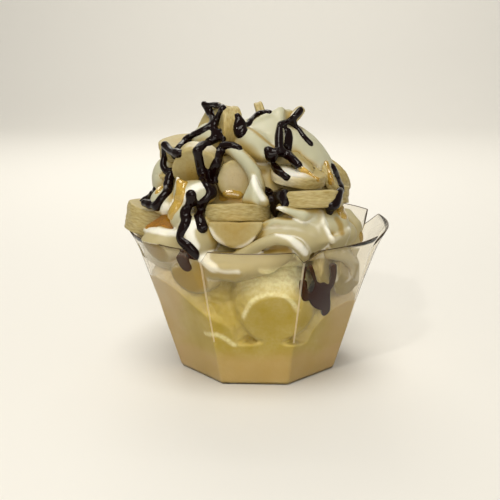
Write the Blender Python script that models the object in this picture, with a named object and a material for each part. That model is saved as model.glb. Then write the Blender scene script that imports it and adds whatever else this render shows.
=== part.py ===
"""Banana sundae in a clear eight-panel plastic cup, built together with its cup.

Millimetres are used throughout and turned into metres when a mesh is made.
The cup stands on z = 0 with its axis on the z axis and one flat panel facing -Y, the front.
"""
import math

import bmesh
import bpy
import numpy as np
from mathutils.bvhtree import BVHTree

MM = 0.001

# Cup
CUP_HEIGHT = 63.5
RIM_RADIUS = 57.2
KNEE_HEIGHT = 52.0
KNEE_RADIUS = 52.0
BASE_RADIUS = 36.1
FOOT_BEVEL = 0.8
WALL = 0.6
FLOOR = 0.9
PANELS = 8
NOTCH_DEPTH = 5.6
NOTCH_HALF_ANGLE = 5.6
GROOVE_DEPTH = 1.5
GROOVE_START = 20.0
ROUNDING_START = 15.0
ROUNDING_HEIGHT = 45.0
# The distance to the leaning wall as a share of the level distance
WALL_LEAN = 0.95

# Food
CLEARANCE = 0.3
FOOD_TO_WALL = 0.7
FOOD_TO_FOOD = 0.8
CREAM_BOTTOM = 32.0
CREAM_BLEND = 1.3
SCOOP_BLEND = 3.0
HIDDEN_BLEND = 9.0
SAUCE_BLEND = 1.0
# How deep the runs of sauce lie in the food, and how far off the wall, as shares of their radius
SINK = 0.35
OFF_WALL = 0.4
CREAM_CELL = 1.3
SCOOP_CELL = 1.7
CREAM_TRIANGLES = 5400
SCOOP_TRIANGLES = 1000
SLICE_SIDES = 14
SLICE_EDGE = 0.9

# The points that the sundae is looked at from, for laying sauce on it, and how far before and
# behind the plane through the cup's axis the sauce can meet the food
VIEWPOINT = np.array((17.9, -359.6, 144.7))
BACK_VIEWPOINT = np.array((-10.0, 359.6, 150.0))
FRONT_REACH = 62.0
BACK_REACH = 30.0
# The search for that surface: number of steps, share of the gap taken, longest step back and forward
MARCHING_STEPS = 90
STEP_SHARE = 0.8
STEP_BACK = 0.5
STEP_FORWARD = 4.0
# How steeply a run may fall back between two points 1 mm apart, and how far it may sag into its food
STEEPEST = 2.2
SAG = 0.3

# Banana slices: name, centre, direction of the face, radius, thickness
SLICES = (
    ("front", (-7.3, -32.7, 73.5), (0.0, 0.26, 0.966), 13.8, 7.3),
    ("right", (21.5, -31.7, 78.7), (-0.05, 0.26, 0.965), 14.0, 7.0),
    ("half", (-6.4, -44.0, 73.4), (0.0, -0.95, 0.3), 10.6, 6.5),
    ("tilted", (-7.6, -28.8, 87.2), (0.15, -0.97, 0.15), 7.6, 5.6),
    ("big_left", (-22.6, -27.0, 91.5), (-0.15, -0.92, -0.36), 10.3, 7.5),
    ("upper_left", (-30.5, -8.0, 97.0), (-0.08, -0.14, 0.985), 11.0, 7.0),
    ("left_low", (-31.5, -14.0, 88.3), (-0.35, -0.25, 0.9), 10.0, 7.0),
    ("top_middle", (-12.4, -12.0, 104.5), (-0.93, -0.33, 0.1), 10.5, 8.4),
    ("top_left", (-18.8, -7.0, 107.5), (-0.75, -0.35, 0.55), 8.5, 5.0),
    ("rim_left", (-41.3, -14.0, 67.0), (0.2, 0.05, 0.98), 14.5, 11.5),
    ("right_edge", (26.5, -4.0, 77.0), (0.05, 0.12, 0.99), 13.0, 7.5),
    ("right_upper", (30.5, -12.0, 84.8), (0.86, -0.05, 0.5), 8.0, 4.5),
    ("wedge", (17.5, -27.5, 88.0), (0.14, -0.08, 0.985), 11.0, 4.8),
    ("leaning", (21.0, -22.0, 91.0), (0.6, -0.15, 0.78), 8.5, 2.8),
    ("back_tip", (2.4, 3.0, 107.0), (0.94, 0.1, 0.31), 8.5, 4.0),
    ("top_right", (15.5, -6.0, 109.5), (0.7, 0.1, -0.7), 5.5, 3.4),
    ("wall_front", (28.5, -34.8, 52.5), (0.93, -0.36, 0.1), 9.0, 5.0),
    ("wall_right", (37.0, -27.0, 49.0), (0.9, -0.4, 0.15), 10.5, 5.0),
    ("back_left", (-26.0, 22.0, 84.0), (-0.5, 0.6, 0.62), 12.0, 7.5),
    ("back_middle", (4.0, 33.0, 77.0), (0.05, 0.8, 0.6), 13.0, 7.5),
    ("back_right", (30.0, 20.0, 80.0), (0.6, 0.5, 0.62), 12.0, 7.0),
    ("back_rim", (-22.0, 37.0, 69.0), (0.1, -0.15, 0.98), 13.5, 8.0),
)
HALF_SLICE = "half"
HALF_SLICE_TOP = -0.7
PRESSED_SLICES = ("wall_front", "wall_right")

# Ice cream scoops: centre and radius
SCOOPS = (
    ((7.6, -30.5, 37.8), 17.9),
    ((-24.0, -15.0, 34.0), 23.5),
    ((-17.0, -27.0, 27.0), 16.0),
    ((24.0, -12.0, 24.0), 21.0),
    ((20.0, 20.0, 28.0), 20.0),
    ((-1.0, 27.0, 36.0), 21.0),
    ((-22.0, 20.0, 35.0), 22.0),
)
MELTED_LEVEL = 19.0

# Whipped cream as rounded lumps: centre, half sizes, direction of the first half size
CREAM_LUMPS = (
    ((-1.0, 3.0, 66.0), (38.0, 37.0, 37.0), (1, 0, 0)),
    ((-9.0, 1.0, 56.0), (45.0, 46.0, 15.0), (1, 0, 0)),
    # The big smooth lobe at the right of the peak
    ((20.5, -7.5, 93.0), (17.5, 11.0, 8.5), (0.65, -0.12, -0.75)),
    # The lobe under the crease
    ((-0.5, -20.5, 99.5), (9.5, 6.0, 6.0), (0.8, -0.3, -0.5)),
    ((-18.0, -12.0, 101.0), (9.0, 9.0, 7.0), (1, 0, 0)),
    ((-37.0, -13.0, 84.0), (7.0, 8.0, 10.0), (1, 0, 0)),
    ((-35.6, -27.0, 77.6), (7.0, 8.5, 6.0), (1, 0, 0)),
    ((-23.0, -36.0, 82.5), (8.5, 6.0, 5.5), (1, 0, 0)),
    ((-28.5, -37.0, 74.0), (5.0, 6.0, 6.5), (1, 0, 0)),
    ((-36.0, -35.0, 61.5), (10.0, 9.0, 7.0), (1, 0, 0)),
    ((-22.0, -41.0, 66.0), (8.5, 7.5, 9.5), (1, 0, 0)),
    ((-23.0, -41.0, 50.0), (11.0, 8.0, 7.0), (1, 0, 0)),
    ((14.0, -39.5, 66.0), (16.0, 9.5, 8.0), (1, 0, 0)),
    ((24.0, -35.0, 70.0), (14.0, 10.0, 8.5), (1, 0, 0)),
    ((34.0, -31.0, 65.5), (7.5, 7.0, 6.0), (1, 0, 0)),
)

# Whipped cream as piped ropes: points on the middle line with the radius at each
CREAM_ROPES = (
    # The hood over the upright slice
    ((-12.5, -24.5, 99.6, 2.0), (-8.5, -28.0, 98.6, 2.4), (-4.8, -30.0, 96.2, 2.8), (-1.8, -31.0, 93.0, 3.0),
     (0.3, -31.5, 89.4, 3.0), (1.4, -32.0, 85.0, 3.2), (1.0, -32.5, 80.5, 3.6)),
    # Small peaks between the slices
    ((-29.8, -37.0, 89.3, 0.6), (-29.3, -36.5, 85.5, 2.0), (-27.5, -35.5, 81.0, 4.2)),
    # Folds along the front rim
    ((-20.0, -45.0, 56.0, 5.0), (-7.0, -46.5, 55.5, 6.0), (6.0, -47.5, 58.0, 4.6), (14.0, -47.0, 61.5, 3.0)),
    ((-4.5, -48.0, 61.0, 2.6), (0.9, -49.0, 64.0, 2.4), (4.0, -50.0, 65.8, 2.3), (9.0, -51.0, 68.0, 2.2),
     (14.7, -51.0, 67.2, 2.2), (18.0, -49.5, 64.8, 2.3), (20.0, -46.5, 61.6, 2.2), (20.5, -42.5, 57.5, 2.0)),
    ((4.0, -43.5, 70.8, 1.8), (9.0, -44.5, 73.0, 2.0), (17.0, -45.0, 72.2, 2.2), (24.0, -44.0, 69.0, 2.4)),
    # The right edge, down to the inside of the cup
    ((37.5, -17.0, 69.5, 3.4), (40.0, -19.0, 65.5, 4.2), (40.3, -19.0, 60.0, 4.2), (37.0, -20.0, 54.0, 5.0)),
    ((30.0, -39.0, 60.0, 3.0), (35.5, -35.0, 58.0, 3.0), (40.0, -28.0, 52.0, 2.6), (38.0, -25.0, 43.0, 2.6)),
)

# Whipped cream as flaps: three corners each, with the radius at each corner
CREAM_FLAPS = (
    # The flat sail at the top, over the crease
    ((-3.2, -16.0, 106.8, 0.8), (10.2, -10.0, 112.6, 1.2), (8.8, -21.5, 98.6, 1.6)),
    ((-3.2, -16.0, 106.8, 0.8), (2.5, -13.5, 110.2, 0.8), (10.2, -10.0, 112.6, 1.2)),
    ((10.2, -10.0, 112.6, 1.2), (12.5, -3.0, 108.0, 4.5), (8.8, -21.5, 98.6, 1.6)),
    # The lobe that comes out from under the crease
    ((-4.6, -18.0, 106.2, 1.0), (8.6, -26.0, 96.6, 1.0), (-6.0, -21.0, 99.5, 2.2)),
    ((8.6, -26.0, 96.6, 1.0), (3.0, -25.5, 96.0, 2.2), (-6.0, -21.0, 99.5, 2.2)),
    # The ridge of the big lobe
    ((14.4, -12.0, 102.6, 1.2), (27.0, -8.5, 93.2, 1.4), (22.0, -14.0, 92.0, 4.5)),
    ((27.0, -8.5, 93.2, 1.4), (31.8, -7.0, 88.2, 1.6), (26.0, -15.0, 86.0, 4.5)),
    # The spike between the slices
    ((0.1, -35.5, 89.2, 0.5), (-2.4, -37.0, 80.0, 2.2), (1.0, -39.0, 80.0, 2.4)),
    ((0.1, -35.5, 89.2, 0.5), (4.6, -38.0, 79.6, 2.0), (1.0, -39.0, 80.0, 2.4)),
    # The flap over the rim at the left
    ((-44.6, -30.5, 66.2, 1.0), (-37.4, -37.0, 67.4, 1.4), (-37.5, -36.0, 60.5, 3.0)),
    ((-37.4, -37.0, 67.4, 1.4), (-29.0, -42.5, 67.6, 1.6), (-28.0, -42.0, 61.5, 3.5)),
    ((-37.4, -37.0, 67.4, 1.4), (-28.0, -42.0, 61.5, 3.5), (-37.5, -36.0, 60.5, 3.0)),
    # The fold beside the half slice
    ((-25.4, -43.5, 71.0, 2.2), (-21.5, -45.5, 67.6, 3.0), (-23.0, -45.0, 61.0, 4.0)),
    # The tongue between the two flat slices
    ((9.8, -46.0, 79.0, 0.8), (19.5, -45.0, 75.8, 2.0), (17.0, -41.0, 76.4, 2.2)),
    ((19.5, -45.0, 75.8, 2.0), (27.0, -37.0, 75.0, 2.6), (17.0, -41.0, 76.4, 2.2)),
    # The thin upright ridge and the folds beside it
    ((26.6, -41.5, 76.4, 0.7), (27.6, -45.0, 73.0, 0.7), (23.0, -41.0, 71.0, 2.4)),
    ((27.6, -45.0, 73.0, 0.7), (31.2, -46.5, 66.7, 0.8), (25.0, -43.0, 66.0, 3.0)),
    ((31.2, -46.5, 66.7, 0.8), (37.5, -38.5, 68.5, 1.2), (33.0, -38.0, 62.0, 3.2)),
)

# Folds of the hidden back: angle, distance from the axis, height, length, radius
BACK_FOLDS = (
    (35, 36, 68, 12, 8.0), (62, 36, 66, 12, 8.5), (90, 36, 68, 12, 8.0), (118, 36, 66, 12, 8.5),
    (146, 37, 67, 12, 8.0), (172, 38, 70, 11, 7.5),
    (20, 27, 84, 11, 7.5), (58, 26, 86, 11, 7.5), (96, 26, 84, 11, 8.0), (134, 26, 86, 11, 7.5),
    (170, 27, 84, 10, 7.5),
    (45, 14, 99, 9, 7.5), (105, 14, 100, 9, 7.0), (160, 15, 99, 9, 7.0),
)
FOLD_FALL = 0.45

# Chocolate sauce, as it is seen from the viewpoint: radius, then points across and up, measured
# where the line of sight crosses the plane through the cup's axis
SAUCE_RUNS = (
    (1.3, ((-22.9, 114.5), (-19.6, 108.5), (-20.9, 105.6), (-24.9, 103.0), (-29.3, 100.8), (-32.4, 98.2),
           (-34.7, 94.8), (-36.5, 92.1))),
    (0.9, ((-22.5, 114.3), (-18.6, 114.3), (-15.2, 113.8))),
    (1.5, ((-40.3, 96.9), (-37.7, 94.3), (-34.7, 93.5))),
    (1.2, ((-40.8, 95.6), (-41.3, 91.3), (-41.5, 87.7), (-39.8, 85.5))),
    (1.5, ((-38.0, 86.4), (-39.2, 81.6), (-40.1, 76.7), (-43.3, 73.1), (-45.6, 69.5))),
    (1.5, ((-45.4, 77.1), (-47.7, 74.4), (-50.4, 72.1))),
    (1.5, ((-50.4, 71.5), (-48.3, 70.4), (-45.7, 69.4))),
    (1.6, ((-21.5, 97.8), (-24.1, 97.4), (-26.4, 94.3), (-26.0, 91.3), (-25.2, 86.9), (-23.6, 82.5),
           (-21.5, 78.5), (-19.3, 75.4))),
    (1.5, ((-21.5, 98.2), (-18.9, 99.5), (-16.7, 102.1))),
    (1.7, ((-8.1, 96.1), (-12.0, 97.4), (-15.5, 96.5), (-16.2, 93.5), (-16.9, 90.0), (-19.1, 86.0),
           (-20.1, 81.6), (-19.3, 77.2), (-22.0, 73.6), (-24.7, 70.9), (-25.7, 66.4), (-24.5, 60.5))),
    (1.2, ((-14.8, 113.2), (-17.4, 109.4), (-18.6, 105.1), (-17.1, 100.8), (-15.0, 99.5))),
    (2.3, ((-7.1, 106.0), (-7.6, 102.6))),
    (1.0, ((-8.4, 109.8), (-7.1, 107.3), (-4.6, 106.0), (-2.4, 108.1), (0.6, 110.6), (4.9, 111.1))),
    (2.0, ((-29.7, 74.9), (-29.6, 71.3), (-31.9, 67.3), (-32.7, 62.7), (-34.8, 58.2), (-35.4, 54.5),
           (-31.9, 51.3), (-28.8, 47.6))),
    (1.8, ((9.6, 104.3), (9.6, 100.0), (9.8, 95.3))),
    (1.7, ((13.2, 103.0), (13.0, 99.1), (12.2, 94.8))),
    (1.8, ((4.9, 94.8), (6.2, 90.5), (9.2, 86.1), (12.2, 83.1))),
    (1.8, ((7.9, 94.0), (11.3, 93.5), (14.4, 91.4), (17.4, 88.8))),
    (1.3, ((18.5, 112.3), (15.5, 108.9), (12.1, 106.4), (10.0, 106.0))),
    (0.9, ((14.3, 107.2), (17.3, 104.3), (19.9, 100.8), (22.9, 97.9))),
    (1.5, ((32.5, 87.5), (34.3, 84.0), (35.7, 80.1), (36.6, 77.4))),
    (1.8, ((36.1, 78.3), (35.4, 73.9), (34.1, 70.8), (32.0, 69.0))),
    (2.0, ((3.5, 76.9), (7.0, 76.4), (11.0, 76.4))),
    (1.8, ((6.6, 74.6), (9.2, 74.2), (11.4, 72.0))),
    (1.5, ((9.7, 76.4), (7.9, 72.9), (7.0, 69.7), (7.5, 67.0))),
)

# Chocolate sauce that has run down inside the wall, seen the same way, and its thinner smears
WALL_RUNS = (
    (3.8, ((26.8, 33.2), (28.0, 29.0), (29.0, 26.0))),
    (2.4, ((25.4, 30.0), (25.4, 28.0), (27.0, 25.6))),
    (2.2, ((30.1, 25.2), (30.3, 21.9))),
)
WALL_SMEARS = (
    (3.1, ((-33.2, 45.6), (-32.4, 43.2))),
    (0.5, ((20.9, 42.5), (20.5, 37.4))),
    (0.7, ((23.4, 43.0), (25.0, 37.4), (26.4, 33.6))),
    (1.8, ((20.0, 35.0), (20.2, 31.7), (21.6, 28.5))),
    (1.4, ((33.1, 43.0), (33.4, 38.9), (32.2, 33.9))),
)

# Chocolate sauce on the hidden back, as it is seen from a point behind the sundae
BACK_RUNS = (
    (1.5, ((-16.0, 112.0), (-20.0, 107.0), (-26.0, 101.0), (-31.0, 95.0), (-33.0, 88.0), (-37.0, 81.0), (-40.0, 75.0))),
    (1.7, ((2.0, 109.0), (6.0, 103.0), (4.0, 96.0), (9.0, 89.0), (8.0, 82.0), (12.0, 76.0), (11.0, 70.0))),
    (1.4, ((4.0, 104.0), (12.0, 103.0), (19.0, 99.0), (25.0, 93.0), (27.0, 86.0), (33.0, 80.0), (35.0, 74.0))),
    (1.3, ((-27.0, 99.0), (-20.0, 95.0), (-15.0, 88.0), (-16.0, 81.0), (-20.0, 76.0))),
    (1.2, ((18.0, 98.0), (14.0, 92.0), (16.0, 86.0), (20.0, 81.0))),
)

# Base colours as sRGB hex
COLOURS = {
    "cup": "E8EBEA",
    "ice_cream": "EBD9A0",
    "whipped_cream": "F3E9CC",
    "banana": "E3CF97",
}


def linear(hex_colour):
    """Turn an sRGB hex colour into linear values with full opacity."""
    values = [int(hex_colour[index:index + 2], 16) / 255.0 for index in (0, 2, 4)]
    return tuple(((v + 0.055) / 1.055) ** 2.4 if v > 0.04045 else v / 12.92 for v in values) + (1.0,)


def make_material(name, hex_colour, roughness, transmission=0.0, ior=1.45):
    """Make a plain material of one colour."""
    material = bpy.data.materials.new(name)
    material.use_nodes = True
    shader = material.node_tree.nodes["Principled BSDF"]
    shader.inputs["Base Color"].default_value = linear(hex_colour)
    shader.inputs["Roughness"].default_value = roughness
    shader.inputs["Transmission Weight"].default_value = transmission
    shader.inputs["IOR"].default_value = ior
    material.diffuse_color = linear(hex_colour)
    return material


def make_object(name, points, faces, material):
    """Make a mesh object from points in millimetres."""
    mesh = bpy.data.meshes.new(name)
    mesh.from_pydata([tuple(float(value) * MM for value in point) for point in points], [], faces)
    mesh.update()
    mesh.materials.append(material)
    made = bpy.data.objects.new(name, mesh)
    bpy.context.scene.collection.objects.link(made)
    return made


def smooth_step(value):
    """Rise smoothly from 0 to 1."""
    value = np.clip(value, 0.0, 1.0)
    return value * value * (3.0 - 2.0 * value)


# Cup shape

def corner_offset(angle):
    """Degrees from the nearest corner between two panels, for an angle in radians."""
    step = 360.0 / PANELS
    return np.abs(np.mod(np.degrees(angle), step) - step / 2)


def rim_dip(angle):
    """How far the rim dips below its full height at an angle."""
    share = np.clip(corner_offset(angle) / NOTCH_HALF_ANGLE, 0.0, 1.0)
    return NOTCH_DEPTH * (1.0 - share) * (1.0 + 0.35 * share) * (1.0 - 0.35 * share * share)


def cup_radius(angle, height):
    """Outside radius of the cup: flat panels low down, nearly round at the rim."""
    rise = np.clip((height - KNEE_HEIGHT) / (CUP_HEIGHT - KNEE_HEIGHT), 0.0, 1.0)
    wall = BASE_RADIUS + (KNEE_RADIUS - BASE_RADIUS) * np.minimum(height, KNEE_HEIGHT) / KNEE_HEIGHT
    corner = wall + (RIM_RADIUS - KNEE_RADIUS) * rise ** 1.3
    half_panel = 180.0 / PANELS
    off_corner = corner_offset(angle)
    flat = math.cos(math.radians(half_panel)) / np.cos(np.radians(half_panel - off_corner))
    roundness = smooth_step((height - ROUNDING_START) / ROUNDING_HEIGHT)
    groove_share = smooth_step((height - GROOVE_START) / (CUP_HEIGHT - GROOVE_START))
    groove_width = 1.3 + (NOTCH_HALF_ANGLE - 1.3) * groove_share ** 3
    groove = GROOVE_DEPTH * groove_share * np.clip(1.0 - off_corner / groove_width, 0.0, 1.0)
    return corner * (flat * (1.0 - roundness) + roundness) - groove


def cup_angles():
    """Angles round the cup, closer together near the corners."""
    step = 360.0 / PANELS
    offsets = (-5.7, -3.0, -1.3, 0.0, 1.3, 3.0, 5.7, 13.0, step / 2, 32.0)
    return [math.radians(step * panel + step / 2 + offset) for panel in range(PANELS) for offset in offsets]


def cup_ring(angles, level, inset, lift=0.0):
    """One ring of the wall. Rings above the knee follow the dips of the rim."""
    ring = []
    for angle in angles:
        height = level
        if level > KNEE_HEIGHT:
            share = (level - KNEE_HEIGHT) / (CUP_HEIGHT - KNEE_HEIGHT)
            height = level - share * float(rim_dip(angle))
        radius = float(cup_radius(angle, height)) - inset
        ring.append((radius * math.cos(angle), radius * math.sin(angle), height + lift))
    return ring


def loft(rings):
    """Join rings of equal length into faces, with a fan on the first and the last ring."""
    count = len(rings[0])
    points = [point for ring in rings for point in ring]
    faces = []
    for row in range(len(rings) - 1):
        for column in range(count):
            right = (column + 1) % count
            low = row * count
            high = low + count
            faces.append((low + column, low + right, high + right))
            faces.append((low + column, high + right, high + column))
    for row, ring in ((0, rings[0]), (len(rings) - 1, rings[-1])):
        middle = len(points)
        points.append(tuple(sum(point[axis] for point in ring) / count for axis in range(3)))
        for column in range(count):
            right = (column + 1) % count
            here = row * count + column
            there = row * count + right
            faces.append((middle, there, here) if row == 0 else (middle, here, there))
    return points, faces


def build_cup(material):
    """The thin clear shell: up the outside, over the cut edge and down the inside."""
    angles = cup_angles()
    foot = [tuple(value * (1.0 - FOOT_BEVEL / BASE_RADIUS) if axis < 2 else 0.0 for axis, value in enumerate(point))
            for point in cup_ring(angles, 0.0, 0.0)]
    levels = (20.0, 36.0, KNEE_HEIGHT, 58.0, CUP_HEIGHT)
    outside = [foot, cup_ring(angles, FOOT_BEVEL, 0.0)] + [cup_ring(angles, level, 0.0) for level in levels]
    inside = [cup_ring(angles, level, WALL) for level in reversed(levels)]
    floor = cup_ring(angles, FLOOR, WALL)
    points, faces = loft(outside + inside + [floor])
    return make_object("cup", points, faces, material)


def wall_distance(x, y, z, inset):
    """Distance outside the cup's inner wall, carried on upwards past the rim."""
    radius = cup_radius(np.arctan2(y, x), np.maximum(z, 0.0))
    return (np.hypot(x, y) - (radius - WALL - inset)) * WALL_LEAN


def cavity_distance(x, y, z, inset):
    """Distance outside the space that the food may fill; above the rim it is open."""
    wall = wall_distance(x, y, z, inset)
    above = z - (CUP_HEIGHT - rim_dip(np.arctan2(y, x))) - inset
    wall = np.where(above > 0.0, np.minimum(wall, -above), wall)
    return np.maximum(wall, FLOOR + inset - z)


# Rounded forms as distances

def axes_along(direction):
    """Three unit axes, the first along a direction."""
    first = np.array(direction, float)
    first /= np.linalg.norm(first)
    helper = np.array((0.0, 0.0, 1.0)) if abs(first[2]) < 0.95 else np.array((1.0, 0.0, 0.0))
    second = np.cross(helper, first)
    second /= np.linalg.norm(second)
    return first, second, np.cross(first, second)


def egg(centre, half_sizes, direction):
    """A lump with three half sizes."""
    centre = np.array(centre, float)
    axes = axes_along(direction)

    def distance(x, y, z):
        near = 0.0
        steep = 0.0
        for axis, half in zip(axes, half_sizes):
            along = (x - centre[0]) * axis[0] + (y - centre[1]) * axis[1] + (z - centre[2]) * axis[2]
            near = near + (along / half) ** 2
            steep = steep + (along / half ** 2) ** 2
        near = np.sqrt(near)
        return near * (near - 1.0) / np.maximum(np.sqrt(steep), 1e-6)

    reach = max(half_sizes)
    return distance, centre - reach, centre + reach


def rope(points):
    """A tube through points that each carry a radius."""
    nodes = np.array(points, float)

    def distance(x, y, z):
        best = None
        for start, end in zip(nodes[:-1], nodes[1:]):
            run = end[:3] - start[:3]
            length = float(run @ run)
            share = ((x - start[0]) * run[0] + (y - start[1]) * run[1] + (z - start[2]) * run[2]) / length
            share = np.clip(share, 0.0, 1.0)
            gap = np.sqrt((x - start[0] - share * run[0]) ** 2 + (y - start[1] - share * run[1]) ** 2
                          + (z - start[2] - share * run[2]) ** 2)
            gap = gap - (start[3] + share * (end[3] - start[3]))
            best = gap if best is None else np.minimum(best, gap)
        return best

    reach = nodes[:, 3].max()
    return distance, nodes[:, :3].min(axis=0) - reach, nodes[:, :3].max(axis=0) + reach


def flap(corners):
    """A rounded triangle, as thick at each corner as that corner's radius says."""
    first, second, third = (np.array(corner[:3], float) for corner in corners)
    sides = (second - first, third - first)
    normal = np.cross(*sides)
    whole = np.linalg.inv(np.array((sides[0], sides[1], normal / np.linalg.norm(normal))).T)
    radii = [corner[3] for corner in corners]
    edges, low, high = rope(corners + corners[:1])

    def distance(x, y, z):
        offset = (x - first[0], y - first[1], z - first[2])
        along, across, over = (row[0] * offset[0] + row[1] * offset[1] + row[2] * offset[2] for row in whole)
        within = (along >= 0.0) & (across >= 0.0) & (along + across <= 1.0)
        thick = radii[0] + along * (radii[1] - radii[0]) + across * (radii[2] - radii[0])
        return np.minimum(edges(x, y, z), np.where(within, np.abs(over) - thick, 1e3))

    return distance, low, high


def disc(centre, direction, radius, thickness):
    """A slice as a plain disc."""
    centre = np.array(centre, float)
    axis = axes_along(direction)[0]

    def distance(x, y, z):
        along = (x - centre[0]) * axis[0] + (y - centre[1]) * axis[1] + (z - centre[2]) * axis[2]
        square = (x - centre[0]) ** 2 + (y - centre[1]) ** 2 + (z - centre[2]) ** 2 - along ** 2
        across = np.sqrt(np.maximum(square, 0.0)) - radius
        return np.maximum(across, np.abs(along) - thickness / 2)

    return distance, centre - radius - thickness, centre + radius + thickness


def blend(first, second, width):
    """The smaller of two distances, with a rounded valley where they meet."""
    overlap = np.maximum(width - np.abs(first - second), 0.0) / width
    return np.minimum(first, second) - overlap * overlap * width * 0.25


def smooth_path(points, step):
    """Points at even steps along a rounded line through the given ones."""
    given = np.array(points, float)
    padded = np.vstack((2 * given[0] - given[1], given, 2 * given[-1] - given[-2]))
    path = []
    for index in range(len(given) - 1):
        a, b, c, d = padded[index:index + 4]
        count = max(2, int(np.linalg.norm(c[:2] - b[:2]) / step))
        for share in np.arange(count) / count:
            path.append(0.5 * (2 * b + (c - a) * share + (2 * a - 5 * b + 4 * c - d) * share ** 2
                               + (3 * b - a - 3 * c + d) * share ** 3))
    path.append(given[-1])
    return np.array(path)


def back_fold(angle, distance, height, length, radius):
    """One fold of the hidden back, running round the axis and downwards."""
    turn = math.radians(angle)
    centre = (distance * math.cos(turn), distance * math.sin(turn), height)
    return egg(centre, (length, radius, radius), (-math.sin(turn), math.cos(turn), -FOLD_FALL))


def cream_forms():
    """Every lump, rope, flap and fold of the whipped cream."""
    forms = [egg(*lump) for lump in CREAM_LUMPS]
    forms += [rope(points) for points in CREAM_ROPES]
    forms += [flap(corners) for corners in CREAM_FLAPS]
    forms += [back_fold(*fold) for fold in BACK_FOLDS]
    return forms


def scoop_distance(x, y, z, width):
    """Distance to the ice cream, before the cup's wall flattens it."""
    ripple = 1.2 * np.sin(x * 0.13 + 0.8) + 0.8 * np.cos(y * 0.17)
    result = z - MELTED_LEVEL - ripple
    for centre, radius in SCOOPS:
        ball = egg(centre, (radius, radius, radius), (1, 0, 0))[0]
        result = blend(result, ball(x, y, z), width)
    return result


def distance_at(forms, points, width):
    """Distance of scattered points to a blend of forms."""
    result = np.full(len(points), 1e3)
    for distance, low, high in forms:
        result = blend(result, distance(points[:, 0], points[:, 1], points[:, 2]), width)
    return result


def lay_on(path, radius, viewpoint, surface, sink):
    """Lay a run of sauce, given as it is seen from a viewpoint, on the first surface it meets."""
    path = smooth_path(path, 1.0)
    targets = np.column_stack((path[:, 0], np.zeros(len(path)), path[:, 1]))
    sight = targets - viewpoint
    span = np.linalg.norm(sight, axis=1)
    sight /= span[:, None]
    travel = span - FRONT_REACH
    limit = span + BACK_REACH
    for _ in range(MARCHING_STEPS):
        gap = surface(viewpoint + sight * travel[:, None])
        travel = np.minimum(travel + np.clip(gap * STEP_SHARE, -STEP_BACK, STEP_FORWARD), limit)
    missed = travel >= limit - 0.01
    if missed.any():
        travel[missed] = np.interp(np.flatnonzero(missed), np.flatnonzero(~missed), travel[~missed])
    for _ in range(len(travel)):
        travel[1:] = np.minimum(travel[1:], travel[:-1] + STEEPEST)
        travel[:-1] = np.minimum(travel[:-1], travel[1:] + STEEPEST)
    kernel = np.ones(5) / 5
    padded = np.concatenate((np.full(2, travel[0]), travel, np.full(2, travel[-1])))
    travel = np.minimum(np.convolve(padded, kernel, "valid"), travel + SAG)
    laid = viewpoint + sight * (travel - sink * radius)[:, None]
    return rope([tuple(point) + (radius,) for point in laid])


def sauce_on_food():
    """The runs of sauce that lie on the cream and on the slices, in front and behind."""
    resting = cream_forms() + [disc(*entry[1:]) for entry in SLICES]
    return [lay_on(path, radius, viewpoint, lambda points: distance_at(resting, points, CREAM_BLEND), SINK)
            for viewpoint, runs in ((VIEWPOINT, SAUCE_RUNS), (BACK_VIEWPOINT, BACK_RUNS))
            for radius, path in runs]


def sauce_on_wall():
    """The runs of sauce that cling to the inside of the wall."""
    return [lay_on(path, radius, VIEWPOINT, lambda points: wall_distance(*points.T, FOOD_TO_WALL), -OFF_WALL)
            for radius, path in WALL_RUNS + WALL_SMEARS]


# Meshes from distances

def add_forms(field, grid, forms, width):
    """Blend forms into a field, each only where it reaches."""
    x, y, z = grid
    for distance, low, high in forms:
        part = []
        for values, start, stop in zip((x, y, z), low, high):
            first, last = np.searchsorted(values, (start - 4.0, stop + 4.0))
            part.append(slice(first, max(last, first + 1)))
        block = distance(x[part[0], None, None], y[None, part[1], None], z[None, None, part[2]])
        key = tuple(part)
        field[key] = blend(field[key], block, width)
    return field


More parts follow.
